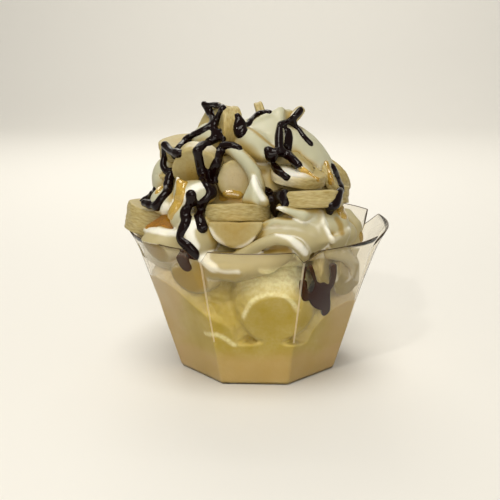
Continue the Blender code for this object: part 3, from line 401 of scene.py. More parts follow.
# Chocolate sauce, as it is seen from the viewpoint: radius, then points across and up, measured
# where the line of sight crosses the plane through the cup's axis
CHOCOLATE_RUNS = (
    (1.3, ((-22.9, 114.5), (-19.6, 108.5), (-20.9, 105.6), (-24.9, 103.0), (-29.3, 100.8), (-32.4, 98.2),
           (-34.7, 94.8), (-36.5, 92.1))),
    (0.9, ((-22.5, 114.3), (-18.6, 114.3), (-15.2, 113.8))),
    (1.5, ((-40.3, 96.9), (-37.7, 94.3), (-34.7, 93.5))),
    (1.2, ((-40.8, 95.6), (-41.3, 91.3), (-41.5, 87.7), (-39.8, 85.5))),
    (1.5, ((-38.0, 86.4), (-39.2, 81.6), (-40.1, 76.7), (-43.3, 73.1), (-45.6, 69.5))),
    (1.5, ((-45.4, 77.1), (-47.7, 74.4), (-50.4, 72.1))),
    (1.5, ((-50.4, 71.5), (-48.3, 70.4), (-45.7, 69.4))),
    (1.6, ((-21.5, 97.8), (-24.1, 97.4), (-26.4, 94.3), (-26.0, 91.3), (-25.2, 86.9), (-23.6, 82.5),
           (-21.5, 78.5), (-19.3, 75.4))),
    (1.5, ((-21.5, 98.2), (-18.9, 99.5), (-16.7, 102.1))),
    (1.7, ((-8.1, 96.1), (-12.0, 97.4), (-15.5, 96.5), (-16.2, 93.5), (-16.9, 90.0), (-19.1, 86.0),
           (-20.1, 81.6), (-19.3, 77.2), (-22.0, 73.6), (-24.7, 70.9), (-25.7, 66.4), (-24.5, 60.5))),
    (1.2, ((-14.8, 113.2), (-17.4, 109.4), (-18.6, 105.1), (-17.1, 100.8), (-15.0, 99.5))),
    (2.3, ((-7.1, 106.0), (-7.6, 102.6))),
    (1.0, ((-8.4, 109.8), (-7.1, 107.3), (-4.6, 106.0), (-2.4, 108.1), (0.6, 110.6), (4.9, 111.1))),
    (2.0, ((-29.7, 74.9), (-29.6, 71.3), (-31.9, 67.3), (-32.7, 62.7), (-34.8, 58.2), (-35.4, 54.5),
           (-31.9, 51.3), (-28.8, 47.6))),
    (1.8, ((9.6, 104.3), (9.6, 100.0), (9.8, 95.3))),
    (1.7, ((13.2, 103.0), (13.0, 99.1), (12.2, 94.8))),
    (1.8, ((4.9, 94.8), (6.2, 90.5), (9.2, 86.1), (12.2, 83.1))),
    (1.8, ((7.9, 94.0), (11.3, 93.5), (14.4, 91.4), (17.4, 88.8))),
    (1.3, ((18.5, 112.3), (15.5, 108.9), (12.1, 106.4), (10.0, 106.0))),
    (0.9, ((14.3, 107.2), (17.3, 104.3), (19.9, 100.8), (22.9, 97.9))),
    (1.5, ((32.5, 87.5), (34.3, 84.0), (35.7, 80.1), (36.6, 77.4))),
    (1.8, ((36.1, 78.3), (35.4, 73.9), (34.1, 70.8), (32.0, 69.0))),
    (2.0, ((3.5, 76.9), (7.0, 76.4), (11.0, 76.4))),
    (1.8, ((6.6, 74.6), (9.2, 74.2), (11.4, 72.0))),
    (1.5, ((9.7, 76.4), (7.9, 72.9), (7.0, 69.7), (7.5, 67.0))),
)

# Chocolate sauce that has run down inside the wall, seen the same way, and its thinner smears
WALL_RUNS = (
    (3.8, ((26.8, 33.2), (28.0, 29.0), (29.0, 26.0))),
    (2.4, ((25.4, 30.0), (25.4, 28.0), (27.0, 25.6))),
    (2.2, ((30.1, 25.2), (30.3, 21.9))),
)
WALL_SMEARS = (
    (3.1, ((-33.2, 45.6), (-32.4, 43.2))),
    (0.5, ((20.9, 42.5), (20.5, 37.4))),
    (0.7, ((23.4, 43.0), (25.0, 37.4), (26.4, 33.6))),
    (1.8, ((20.0, 35.0), (20.2, 31.7), (21.6, 28.5))),
    (1.4, ((33.1, 43.0), (33.4, 38.9), (32.2, 33.9))),
)

# Chocolate sauce on the hidden back, as it is seen from a point behind the sundae
BACK_RUNS = (
    (1.5, ((-16.0, 112.0), (-20.0, 107.0), (-26.0, 101.0), (-31.0, 95.0), (-33.0, 88.0),
           (-37.0, 81.0), (-40.0, 75.0))),
    (1.7, ((2.0, 109.0), (6.0, 103.0), (4.0, 96.0), (9.0, 89.0), (8.0, 82.0),
           (12.0, 76.0), (11.0, 70.0))),
    (1.4, ((4.0, 104.0), (12.0, 103.0), (19.0, 99.0), (25.0, 93.0), (27.0, 86.0),
           (33.0, 80.0), (35.0, 74.0))),
    (1.3, ((-27.0, 99.0), (-20.0, 95.0), (-15.0, 88.0), (-16.0, 81.0), (-20.0, 76.0))),
    (1.2, ((18.0, 98.0), (14.0, 92.0), (16.0, 86.0), (20.0, 81.0))),
)

# Caramel sauce, seen the same way as the chocolate on the front and on the back
CARAMEL_RUNS = (
    (1.9, ((-33.4, 79.8), (-34.2, 75.4), (-36.3, 70.6), (-39.0, 66.0))),
    (1.6, ((-15.8, 74.5), (-12.3, 75.0), (-8.8, 74.6))),
    (2.0, ((36.6, 68.1), (36.9, 66.6))),
    (1.2, ((-43.1, 78.9), (-44.1, 76.2))),
    (1.0, ((29.9, 89.2), (31.3, 85.3), (31.8, 80.9))),
    (0.6, ((17.0, 87.9), (21.8, 85.3), (26.1, 82.2))),
    (1.2, ((45.3, 57.4), (45.8, 55.6))),
)
BACK_CARAMEL_RUNS = (
    (1.2, ((-8.0, 96.0), (-6.0, 90.0), (-8.0, 84.0))),
    (1.4, ((22.0, 78.0), (25.0, 73.0), (24.0, 68.0))),
    (1.5, ((-31.0, 71.0), (-27.0, 68.0))),
)

# The pool of caramel between the rim slice and the flap of cream before it
CARAMEL_POOL = (
    ((-43.1, -31.0, 67.0, 1.0), (-29.4, -40.0, 68.9, 1.2), (-35.2, -31.5, 72.3, 1.2)),
    ((-43.1, -31.0, 67.0, 1.0), (-35.2, -31.5, 72.3, 1.2), (-38.3, -30.5, 70.0, 1.2)),
)

# Where caramel has soaked in, with painted shade on slices and cream that lie in shadow; and where melting
# cream has run over the banana, with painted light on lit tops: centre, radius, strength
CARAMEL_STAINS = (
    ((-26.0, -33.0, 85.5), 8.5, 0.9),
    ((-11.0, -20.0, 104.0), 8.0, 0.45),
    ((-6.4, -47.0, 70.0), 10.5, 0.62),
    ((-7.6, -31.5, 87.2), 8.0, 0.35),
    ((-17.0, -30.0, 84.0), 7.0, 0.7),
    ((-0.5, -29.0, 88.0), 5.0, 0.5),
    ((24.0, -27.0, 86.0), 7.0, 0.5),
    ((36.0, -24.0, 68.0), 5.0, 0.5),
)
MILKY_SPOTS = (
    ((15.0, -31.0, 90.5), 10.0, 1.0),
    ((-8.0, -32.0, 88.0), 7.0, 0.3),
    ((-21.0, -27.0, 99.0), 8.0, 0.8),
    ((14.0, -8.0, 112.0), 4.0, 0.8),
)

# Painted highlights on the edges of the cream and the ice cream and on the rims of the slices, ice cream
# colour on the cream, shade that dims the cream's painted highlights, and caramel stain with painted shade,
# as runs seen from the camera
CREAM_EDGES = (
    (0.9, ((-40.7, 69.9), (-41.7, 67.2), (-40.9, 64.9))),
    (1.0, ((-50.1, 59.8), (-45.6, 58.7), (-40.2, 58.1), (-35.7, 57.7))),
    (1.3, ((-28.5, 61.8), (-30.0, 60.9), (-30.8, 58.6), (-30.2, 55.2), (-28.3, 51.3))),
    (0.9, ((9.2, 57.7), (14.1, 56.2), (18.5, 51.9), (21.8, 48.6))),
    (1.4, ((-24.6, 45.8), (-23.0, 43.5), (-20.4, 41.6))),
    (0.3, ((-19.9, 40.9), (-15.4, 39.6), (-9.1, 39.9))),
    (1.2, ((-32.6, 73.1), (-29.9, 76.3), (-26.3, 78.9), (-22.3, 79.8))),
    (0.8, ((-1.9, 83.0), (-0.4, 78.2), (1.8, 73.8))),
)
ICY_CREAM = (
    (3.0, ((4.4, 42.2), (7.5, 42.4), (18.6, 43.9))),
    (2.0, ((7.9, 46.1), (18.6, 46.2))),
)
# Painted highlights along the arc of the scoop and the puddle's edge
ICE_EDGES = (
    (0.3, ((-7.1, 18.1), (-3.8, 25.3), (1.6, 28.9), (8.0, 29.7), (13.8, 27.6), (17.9, 21.7))),
    (0.4, ((-24.6, 10.1), (-19.1, 9.9), (-15.0, 7.8), (-11.3, 4.9))),
)
CREAM_SHADES = (
    (0.7, ((-6.0, 40.4), (-1.5, 43.7), (3.5, 47.4))),
    (4.0, ((0.5, 107.5), (4.0, 106.5))),
    (3.4, ((-11.5, 45.5), (-3.0, 44.5))),
    (3.5, ((35.5, 59.0), (37.5, 56.0))),
)
# Painted highlights along the rims of the slices
SLICE_RIMS = (
    (0.35, ((-21.9, 60.1), (-19.0, 55.5), (-13.3, 51.4), (-6.9, 51.4), (-1.4, 55.1))),
    (0.5, ((38.5, 48.4), (41.0, 44.1), (40.9, 37.2), (36.7, 29.6))),
    (0.5, ((25.7, 47.6), (30.0, 48.3), (32.8, 44.6), (34.3, 37.1))),
)
# Caramel stain lines, most of them painted shade in recesses and gaps
STAIN_LINES = (
    (0.7, ((5.7, 50.0), (9.7, 50.7), (13.7, 50.0))),
    (0.6, ((34.7, 64.5), (36.5, 61.4), (37.0, 58.2))),
    (0.3, ((-4.1, 105.1), (0.1, 101.7), (4.4, 98.3), (7.9, 95.3))),
    (0.9, ((-5.0, 94.2), (-1.2, 90.0), (2.4, 85.6))),
)

# Colours as sRGB hex
COLOURS = {
    "cup": "F6F2E8",
    # Painted dark refraction along the cup's cut edge
    "cup_edge": "4A3820",
    # Whitened fold of the cup, partly a painted highlight
    "fold": "FFF0D0",
    "ice_cream": "FFFBD2",
    "ice_cream_crust": "E3D492",
    # Melting ice cream, partly painted shade lower down
    "ice_cream_melted": "C2AC4C",
    "ice_cream_pool": "D8BC8A",
    "cream": "BEBCA0",
    # Painted shade in the cream's hollows, low down and where it is pressed on the wall
    "cream_hollow": "B59C58",
    # Painted highlight on the cream's thin edges
    "cream_edge": "FBF9EE",
    "banana": "C3B583",
    "banana_side": "A08A4E",
    "banana_cut": "B2A370",
    "banana_core": "AD9757",
    "banana_seed": "6B5230",
    # Cream glaze on the banana, also painted light on lit tops and rims
    "milky": "FFFDF2",
    "chocolate": "120403",
    "chocolate_thin": "381105",
    "smear": "46280F",
    # Caramel stain, also used as painted shade
    "stain": "A0802A",
    "caramel": "DDBC58",
    "caramel_deep": "D29A1E",
    "floor": "F1EFEA",
    "light": "FFFBF2",
}


def linear(hex_colour):
    """Turn an sRGB hex colour into linear values with full opacity."""
    values = [int(hex_colour[index:index + 2], 16) / 255.0 for index in (0, 2, 4)]
    return tuple(((v + 0.055) / 1.055) ** 2.4 if v > 0.04045 else v / 12.92 for v in values) + (1.0,)


def tone(name):
    """One of the colours in the list, as linear values."""
    return linear(COLOURS[name])


def opaque(setting):
    """A colour setting with full opacity."""
    return tuple(setting) + (1.0,)


# Shapes as distances

def smooth_step(value):
    """Rise smoothly from 0 to 1."""
    value = np.clip(value, 0.0, 1.0)
    return value * value * (3.0 - 2.0 * value)


def wobble(points, size, seed):
    """Smooth random values from -1 to 1 at points, with bumps about one size across."""
    place = points / size
    low = np.floor(place).astype(np.int64)
    share = smooth_step(place - low)
    total = np.zeros(len(points))
    for corner in np.ndindex(2, 2, 2):
        key = (low + corner) @ SCRAMBLERS + seed * SEED_SCRAMBLER
        key = (key ^ (key >> 13)) * LAST_SCRAMBLER & SCRAMBLED_BITS
        value = ((key ^ (key >> 16)) & VALUE_BITS) / (VALUE_BITS / 2) - 1.0
        weight = np.prod(np.where(np.array(corner) == 1, share, 1.0 - share), axis=1)
        total += weight * value
    return total


def relief(points, layers):
    """Random bumps in layers, each with a height, a width and a seed."""
    return sum(height * wobble(points, width, seed) for height, width, seed in layers)


def border(points, values, start, width, uneven, size, seed):
    """Rise from 0 to 1 over a width, or fall over a negative one, with an uneven edge."""
    return smooth_step((values - start) / width + uneven * wobble(points, size, seed))


def corner_offset(angle):
    """Degrees from the nearest corner between two panels, for an angle in radians."""
    step = 360.0 / PANELS
    return np.abs(np.mod(np.degrees(angle), step) - step / 2)


def rim_dip(angle):
    """How far the rim dips below its full height at an angle."""
    share = np.clip(corner_offset(angle) / NOTCH_HALF_ANGLE, 0.0, 1.0)
    return NOTCH_DEPTH * (1.0 - share) * (1.0 + NOTCH_FLARE * share) * (1.0 - NOTCH_FLARE * share * share)


def cup_radius(angle, height):
    """Outside radius of the cup: flat panels low down, nearly round at the rim."""
    rise = np.clip((height - KNEE_HEIGHT) / (CUP_HEIGHT - KNEE_HEIGHT), 0.0, 1.0)
    wall = BASE_RADIUS + (KNEE_RADIUS - BASE_RADIUS) * np.minimum(height, KNEE_HEIGHT) / KNEE_HEIGHT
    corner = wall + (RIM_RADIUS - KNEE_RADIUS) * rise ** LIP_FLARE
    half_panel = 180.0 / PANELS
    off_corner = corner_offset(angle)
    flat = math.cos(math.radians(half_panel)) / np.cos(np.radians(half_panel - off_corner))
    roundness = smooth_step((height - ROUNDING_START) / ROUNDING_HEIGHT)
    groove_share = smooth_step((height - GROOVE_START) / (CUP_HEIGHT - GROOVE_START))
    groove_width = GROOVE_HALF_ANGLE + (NOTCH_HALF_ANGLE - GROOVE_HALF_ANGLE) * groove_share ** 3
    groove = GROOVE_DEPTH * groove_share * np.clip(1.0 - off_corner / groove_width, 0.0, 1.0)
    return corner * (flat * (1.0 - roundness) + roundness) - groove


def wall_distance(x, y, z, inset):
    """Distance outside the cup's inner wall, carried on upwards past the rim."""
    radius = cup_radius(np.arctan2(y, x), np.maximum(z, 0.0))
    return (np.hypot(x, y) - (radius - WALL - inset)) * WALL_LEAN


def cavity_distance(x, y, z, inset=-INTO_WALL):
    """Distance outside the space that the food may fill; above the rim it is open."""
    wall = wall_distance(x, y, z, inset)
    above = z - (CUP_HEIGHT - rim_dip(np.arctan2(y, x))) - inset
    wall = np.where(above > 0.0, np.minimum(wall, -above), wall)
    return np.maximum(wall, FLOOR + inset - z)


def axes_along(direction):
    """Three unit axes, the first along a direction."""
    first = np.array(direction, float)
    first /= np.linalg.norm(first)
    helper = np.array((0.0, 0.0, 1.0)) if abs(first[2]) < NEARLY_UPRIGHT else np.array((1.0, 0.0, 0.0))
    second = np.cross(helper, first)
    second /= np.linalg.norm(second)
    return first, second, np.cross(first, second)


def dot(first, second):
    """Dot product of two lists of three numbers or arrays."""
    return first[0] * second[0] + first[1] * second[1] + first[2] * second[2]


def egg(centre, half_sizes, direction=(1, 0, 0)):
    """A lump with three half sizes, as a form of one part."""
    axes = axes_along(direction)

    def distance(x, y, z):
        offset = (x - centre[0], y - centre[1], z - centre[2])
        near = 0.0
        steep = 0.0
        for axis, half in zip(axes, half_sizes):
            along = dot(offset, axis)
            near = near + (along / half) ** 2
            steep = steep + (along / half ** 2) ** 2
        near = np.sqrt(near)
        return near * (near - 1.0) / np.maximum(np.sqrt(steep), 1e-6)

    reach = max(half_sizes)
    return [(distance, np.array(centre) - reach, np.array(centre) + reach)]


def limb(start, end):
    """One straight stretch of a rope, between two points that each carry a radius."""
    start = np.array(start, float)
    end = np.array(end, float)
    run = end[:3] - start[:3]
    square = max(float(run @ run), 1e-9)

    def distance(x, y, z):
        offset = (x - start[0], y - start[1], z - start[2])
        share = np.clip(dot(offset, run) / square, 0.0, 1.0)
        gap = (offset[0] - share * run[0]) ** 2 + (offset[1] - share * run[1]) ** 2
        gap = np.sqrt(gap + (offset[2] - share * run[2]) ** 2)
        return gap - (start[3] + share * (end[3] - start[3]))

    reach = max(start[3], end[3])
    return distance, np.minimum(start[:3], end[:3]) - reach, np.maximum(start[:3], end[:3]) + reach


def rope(points):
    """A tube through points that each carry a radius."""
    return [limb(start, end) for start, end in zip(points[:-1], points[1:])]


def flap(corners):
    """A rounded triangle, as thick at each corner as that corner's radius says."""
    first, second, third = (np.array(corner[:3], float) for corner in corners)
    sides = (second - first, third - first)
    normal = np.cross(*sides)
    normal /= np.linalg.norm(normal)
    whole = np.linalg.inv(np.array((sides[0], sides[1], normal)).T)
    radii = [corner[3] for corner in corners]

    def distance(x, y, z):
        offset = (x - first[0], y - first[1], z - first[2])
        along = dot(offset, whole[0])
        across = dot(offset, whole[1])
        over = np.abs(dot(offset, whole[2]))
        within = (along >= 0.0) & (across >= 0.0) & (along + across <= 1.0)
        thick = radii[0] + along * (radii[1] - radii[0]) + across * (radii[2] - radii[0])
        return np.where(within, over - thick, FAR)

    reach = max(radii)
    points = np.array((first, second, third))
    plate = (distance, points.min(axis=0) - reach, points.max(axis=0) + reach)
    return [plate] + [limb(corners[a], corners[b]) for a, b in ((0, 1), (1, 2), (2, 0))]


def blend(first, second, width):
    """The smaller of two distances, with a rounded valley where they meet."""
    overlap = np.maximum(width - np.abs(first - second), 0.0) / width
    return np.minimum(first, second) - overlap * overlap * width * 0.25


def back_fold(angle, distance, height, length, radius):
    """One fold of the hidden back, running round the axis and downwards."""
    turn = math.radians(angle)
    centre = (distance * math.cos(turn), distance * math.sin(turn), height)
    return egg(centre, (length, radius, radius), (-math.sin(turn), math.cos(turn), -FOLD_FALL))


def cream_forms():
    """Every lump, rope, flap and fold of the whipped cream."""
    forms = [egg(*lump) for lump in CREAM_LUMPS]
    forms += [rope(points) for points in CREAM_ROPES]
    forms += [flap(corners) for corners in CREAM_FLAPS]
    forms += [back_fold(*fold) for fold in BACK_FOLDS]
    return forms


def scoop_distance(x, y, z, width):
    """Distance to the ice cream, before the cup's wall flattens it."""
    ripple = RIPPLE_HEIGHTS[0] * np.sin(x * RIPPLE_RATES[0] + RIPPLE_SHIFT)
    ripple = ripple + RIPPLE_HEIGHTS[1] * np.cos(y * RIPPLE_RATES[1])
    result = z - MELTED_LEVEL - ripple
    for centre, radius in SCOOPS:
        gap = np.sqrt((x - centre[0]) ** 2 + (y - centre[1]) ** 2 + (z - centre[2]) ** 2) - radius
        result = blend(result, gap, width)
    return result


def ice_cream_distance(x, y, z):
    """Distance to the ice cream as the cup's wall flattens it."""
    return np.maximum(scoop_distance(x, y, z, SCOOP_BLEND), cavity_distance(x, y, z))


def slice_distance(entry, grow=0.0):
    """A banana slice: a slightly five-sided disc with soft edges."""
    name, centre, direction, radius, thickness = entry
    axis, across, upward = axes_along(direction)

    def distance(x, y, z):
        offset = (x - centre[0], y - centre[1], z - centre[2])
        along = dot(offset, axis)
        side = dot(offset, across)
        rise = dot(offset, upward)
        turn = np.arctan2(rise, side)
        sides = 1.0 + FIVE_SIDED * np.cos(5 * turn + centre[0]) + UNEVEN * np.sin(3 * turn - centre[1])
        out = np.hypot(side, rise) - radius * sides + SLICE_EDGE
        if name == HALF_SLICE:
            out = np.maximum(out, rise - HALF_SLICE_TOP + SLICE_EDGE)
        over = np.abs(along) - thickness / 2 + SLICE_EDGE
        outside = np.sqrt(np.maximum(out, 0.0) ** 2 + np.maximum(over, 0.0) ** 2)
        return outside + np.minimum(np.maximum(out, over), 0.0) - SLICE_EDGE - grow

    reach = math.hypot(radius, thickness / 2) + grow
    return [(distance, np.array(centre) - reach, np.array(centre) + reach)]


# Fields on a grid and their surfaces

def grid_over(low, high, cell):
    """Evenly spaced values on each axis."""
    return [np.arange(start, stop + cell, cell) for start, stop in zip(low, high)]


def empty_field(grid):
    """A field on a grid with nothing in it."""
    return np.full([len(values) for values in grid], FAR)


def block_of(grid, low, high, margin):
    """The part of a grid that a box with a margin covers."""
    part = []
    for values, start, stop in zip(grid, low, high):
        first, last = np.searchsorted(values, (start - margin, stop + margin))
        part.append(slice(first, max(last, first + 1)))
    return tuple(part)


def open_grid(grid, part=(slice(None), slice(None), slice(None))):
    """The x, y and z of a grid or a part of it, ready to be combined."""
    x, y, z = (values[piece] for values, piece in zip(grid, part))
    return x[:, None, None], y[None, :, None], z[None, None, :]


def add_form(field, grid, form, width, margin=FORM_MARGIN):
    """Blend one form into a field, each part only where it reaches."""
    low = np.min([part[1] for part in form], axis=0)
    high = np.max([part[2] for part in form], axis=0)
    whole = block_of(grid, low, high, margin)
    local = [values[piece] for values, piece in zip(grid, whole)]
    block = empty_field(local)
    if not block.size:
        return
    for distance, start, stop in form:
        part = block_of(local, start, stop, margin)
        x, y, z = open_grid(local, part)
        if x.size and y.size and z.size:
            block[part] = np.minimum(block[part], distance(x, y, z))
    field[whole] = blend(field[whole], block, width)


def cut_out_slices(field, grid):
    """Make room in a field for the slices, which reach a little way into it."""
    for entry in SLICES:
        distance, low, high = slice_distance(entry, -SLICE_HOLD)[0]
        part = block_of(grid, low, high, SLICE_CUT_MARGIN)
        if field[part].size:
            field[part] = np.maximum(field[part], -distance(*open_grid(grid, part)))


def distance_at(forms, points, width):
    """Distance of scattered points to a blend of forms."""
    result = np.full(len(points), FAR)
    x, y, z = points.T
    for form in forms:
        gap = np.min([part[0](x, y, z) for part in form], axis=0)
        result = blend(result, gap, width)
    return result


def food_surface():
    """The distance from the cream and the slices, on which the sauces rest."""
    resting = cream_forms() + [slice_distance(entry) for entry in SLICES]
    return lambda points: distance_at(resting, points, CREAM_BLEND)


def skin(field, grid):
    """Quads over the surface where a field on a grid is zero, and the points they join."""
    counts = np.array(field.shape)
    strides = np.array((counts[1] * counts[2], counts[2], 1))
    inside = field < 0.0
    corners = list(np.ndindex(2, 2, 2))
    total = np.zeros(counts - 1, np.int8)
    for a, b, c in corners:
        total += inside[a:counts[0] - 1 + a, b:counts[1] - 1 + b, c:counts[2] - 1 + c]
    cells = np.argwhere((total > 0) & (total < 8))
    places = cells @ strides
    flat = field.ravel()
    values = np.stack([flat[places + np.dot(corner, strides)] for corner in corners], axis=1)
    sums = np.zeros((len(places), 3))
    hits = np.zeros(len(places))
    for first, corner in enumerate(corners):
        for axis in range(3):
            if corner[axis]:
                continue
            second = first | (4 >> axis)
            crossing = (values[:, first] < 0.0) != (values[:, second] < 0.0)
            change = np.where(crossing, values[:, first] - values[:, second], 1.0)
            share = np.where(crossing, values[:, first] / change, 0.0)
            sums += np.array(corner) * crossing[:, None]
            sums[:, axis] += share
            hits += crossing
    start = np.array([line[0] for line in grid])
    step = np.array([line[1] - line[0] for line in grid])
    points = start + (cells + sums / hits[:, None]) * step
    number = np.full(field.size, -1, np.int64)
    number[places] = np.arange(len(places))
    faces = []
    for axis in range(3):
        one, two = strides[(axis + 1) % 3], strides[(axis + 2) % 3]
        low = np.take(inside, range(counts[axis] - 1), axis)
        high = np.take(inside, range(1, counts[axis]), axis)
        edges = np.argwhere(low != high)
        edges = edges[(edges[:, (axis + 1) % 3] > 0) & (edges[:, (axis + 2) % 3] > 0)]
        base = edges @ strides
        quads = number[np.stack((base - one - two, base - two, base, base - one), axis=1)]
        leaving = inside.ravel()[base]
        quads[~leaving] = quads[~leaving][:, ::-1]
        faces.append(quads[(quads >= 0).all(axis=1)])
    return points, np.concatenate(faces)


def relax(points, faces, rounds=2):
    """Even out the points of a surface without shrinking it."""
    ends = np.concatenate([faces[:, [side, (side + 1) % 4]] for side in range(4)])
    first = np.concatenate((ends[:, 0], ends[:, 1]))
    second = np.concatenate((ends[:, 1], ends[:, 0]))
    degree = np.maximum(np.bincount(first, minlength=len(points)), 1)[:, None]
    for _ in range(rounds):
        for pull in SMOOTHING_PULLS:
            near = [np.bincount(first, points[second, axis], len(points)) for axis in range(3)]
            points = points + pull * (np.stack(near, axis=1) / degree - points)
    return points


def largest(points, faces):
    """Keep only the largest loose piece of a surface."""
    label = np.arange(len(points))
    while True:
        lowest = label[faces].min(axis=1)
        new = label.copy()
        for side in range(4):
            np.minimum.at(new, faces[:, side], lowest)
        new = new[new]
        if (new == label).all():
            break
        label = new
    kept = label == np.bincount(label).argmax()
    number = np.cumsum(kept) - 1
    return points[kept], number[faces[kept[faces].all(axis=1)]]


def place_object(name, data, place=None):
    """Add an object to the scene, at a place if one is given."""
    made = bpy.data.objects.new(name, data)
    bpy.context.scene.collection.objects.link(made)
    if place is not None:
        made.matrix_world = place
    return made


def smooth_mesh(name, points, faces, materials):
    """A smooth mesh from points in millimetres."""
    mesh = bpy.data.meshes.new(name)
    mesh.from_pydata((points * MM).tolist(), [], faces)
    mesh.shade_smooth()
    for material in materials:
        mesh.materials.append(material)
    return mesh


def mesh_piece(name, points, faces, materials, place=None):
    """Make a smooth piece that rides on the cup's body."""
    piece = place_object(name, smooth_mesh(name, points, faces, materials), place)
    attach(piece, "root")
    return piece


def sculpt(name, points, faces, material, rounds=2, place=None):
    """Make a piece from the skin of a field, and give its evened out points too."""
    points = relax(points, faces, rounds)
    return mesh_piece(name, points, faces.tolist(), [material], place), points


def normals_of(piece):
    """The normals at a mesh's points."""
    mesh = piece.data
    values = np.empty(len(mesh.vertices) * 3, np.float32)
    mesh.vertex_normals.foreach_get("vector", values)
    return values.reshape(-1, 3).astype(float)


def shift(piece, points, amount):
    """Move a mesh's points, given in millimetres, along their normals."""
    moved = (points + normals_of(piece) * amount[:, None]) * MM
    piece.data.vertices.foreach_set("co", moved.astype(np.float32).ravel())
    piece.data.update()
    return moved / MM


def mark(piece, **values):
    """Store numbers at each point of a mesh, each under its name, for its material."""
    for name, numbers in values.items():
        layer = piece.data.attributes.new(name, "FLOAT", "POINT")
        layer.data.foreach_set("value", np.asarray(numbers, np.float32))


def pressed_at(points):
    """How closely points are pressed against the cup's wall, from 0 to 1."""
    return smooth_step(1.0 + (cavity_distance(*points.T) - PRESSED_GAP) / PRESSED_FADE)


def free_at(points):
    """How far points are free of the cup's wall, from 0 to 1."""
    return smooth_step(-cavity_distance(*points.T) / FREE_DEPTH)


def spots_at(points, spots):
    """How strongly points lie in round spots with soft, uneven edges."""
    total = np.zeros(len(points))
    for centre, radius, strength in spots:
        gap = np.linalg.norm(points - np.array(centre), axis=1)
        total = np.maximum(total, strength * smooth_step(SPOT_EDGE * (1.0 - gap / radius)))
    return total * (1.0 - SPOT_UNEVEN + SPOT_UNEVEN * wobble(points, SPOT_UNEVEN_SIZE, SPOT_SEED))


# Runs laid on the food

def smooth_path(points, step):
    """Points at even steps along a rounded line through the given ones."""
    given = np.array(points, float)
    padded = np.vstack((2 * given[0] - given[1], given, 2 * given[-1] - given[-2]))
    path = []
    for index in range(len(given) - 1):
        a, b, c, d = padded[index:index + 4]
        count = max(2, int(np.linalg.norm(c[:2] - b[:2]) / step))
        for share in np.arange(count) / count:
            path.append(0.5 * (2 * b + (c - a) * share + (2 * a - 5 * b + 4 * c - d) * share ** 2
                               + (3 * b - a - 3 * c + d) * share ** 3))
    path.append(given[-1])
    return np.array(path)


def smooth_depth(depth, missed):
    """Even out how far away the points of a run are, and bridge those that met nothing."""
    depth = depth.copy()
    if missed.any():
        depth[missed] = np.interp(np.flatnonzero(missed), np.flatnonzero(~missed), depth[~missed])
    for _ in range(len(depth)):
        depth[1:] = np.minimum(depth[1:], depth[:-1] + STEEPEST)
        depth[:-1] = np.minimum(depth[:-1], depth[1:] + STEEPEST)
    half = SMOOTHED_POINTS // 2
    padded = np.concatenate((np.full(half, depth[0]), depth, np.full(half, depth[-1])))
    even = np.convolve(padded, np.ones(SMOOTHED_POINTS) / SMOOTHED_POINTS, "valid")
    return np.minimum(even, depth + SMOOTHING_SLACK)


def lay_on(runs, viewpoint, surface, sink=0.0):
    """Lay runs, given as they are seen from a viewpoint, on the surface that each meets first."""
    paths = [smooth_path(path, RUN_STEP) for _, path in runs]
    across = np.concatenate(paths)
    targets = np.column_stack((across[:, 0], np.zeros(len(across)), across[:, 1]))
    sight = targets - viewpoint
    span = np.linalg.norm(sight, axis=1)
    sight /= span[:, None]
    travel = span - FRONT_REACH
    limit = span + BACK_REACH
    for _ in range(MARCHING_STEPS):
        gap = surface(viewpoint + sight * travel[:, None])
        travel = np.minimum(travel + np.clip(gap * MARCHING_SHARE, *MARCHING_LIMITS), limit)
    laid = []
    start = 0
    for (radius, _), path in zip(runs, paths):
        own = slice(start, start + len(path))
        start += len(path)
        depth = smooth_depth(travel[own], travel[own] >= limit[own] - MISSED_SLACK)
        points = viewpoint + sight[own] * (depth - sink * radius)[:, None]
        widths = radius * (1.0 + RUN_VARIES * wobble(points, RUN_VARIES_SIZE, RUN_VARIES_SEED))
        laid.append(rope(np.column_stack((points, widths))))
    return laid


def painted(points, runs):
    """How strongly points lie on runs, with soft edges."""
    share = np.zeros(len(points))
    low = np.min([part[1] for run in runs for part in run], axis=0) - PAINT_FADE
    high = np.max([part[2] for run in runs for part in run], axis=0) + PAINT_FADE
    near = np.all((points > low) & (points < high), axis=1)
    if near.any():
        share[near] = smooth_step(1.0 - distance_at(runs, points[near], PAINT_BLEND) / PAINT_FADE)
    return share


# Materials

def fill(tree, node, inputs):
    """Set or link a node's inputs."""
    for key, value in inputs.items():
        if isinstance(value, bpy.types.NodeSocket):
            tree.links.new(value, node.inputs[key])
        else:
            node.inputs[key].default_value = value


def add(tree, kind, inputs=None, out=0, **settings):
    """Add a node with its settings, set or link its inputs, and return one of its outputs."""
    node = tree.nodes.new(kind)
    for key, value in settings.items():
        setattr(node, key, value)
    fill(tree, node, inputs or {})
    return node.outputs[out]


def new_material(name, *marks):
    """A material with its Principled shader, and a socket for each number marked on the mesh."""
    material = bpy.data.materials.new(name)
    material.use_nodes = True
    tree = material.node_tree
    sockets = [add(tree, "ShaderNodeAttribute", out="Fac", attribute_name=mark) for mark in marks]
    return material, tree, tree.nodes["Principled BSDF"], *sockets


def per_mm(size):
    """Pattern scale, in object coordinates in metres, for a pattern of a size in millimetres."""
    return 1.0 / (size * MM)


def layered(tree, colour, *coats):
    """Lay colours over one another, each as strongly as its share says."""
    for share, coat in coats:
        colour = add(tree, "ShaderNodeMix", {0: share, 6: colour, 7: coat}, out=2, data_type="RGBA")
    return colour


def shine_off_the_wall(tree, pressed, level=0.5):
    """Specular level that fades where food touches the wall, since no air lies between them."""
    return add(tree, "ShaderNodeMapRange", {"Value": pressed, "To Min": level, "To Max": 0.0})


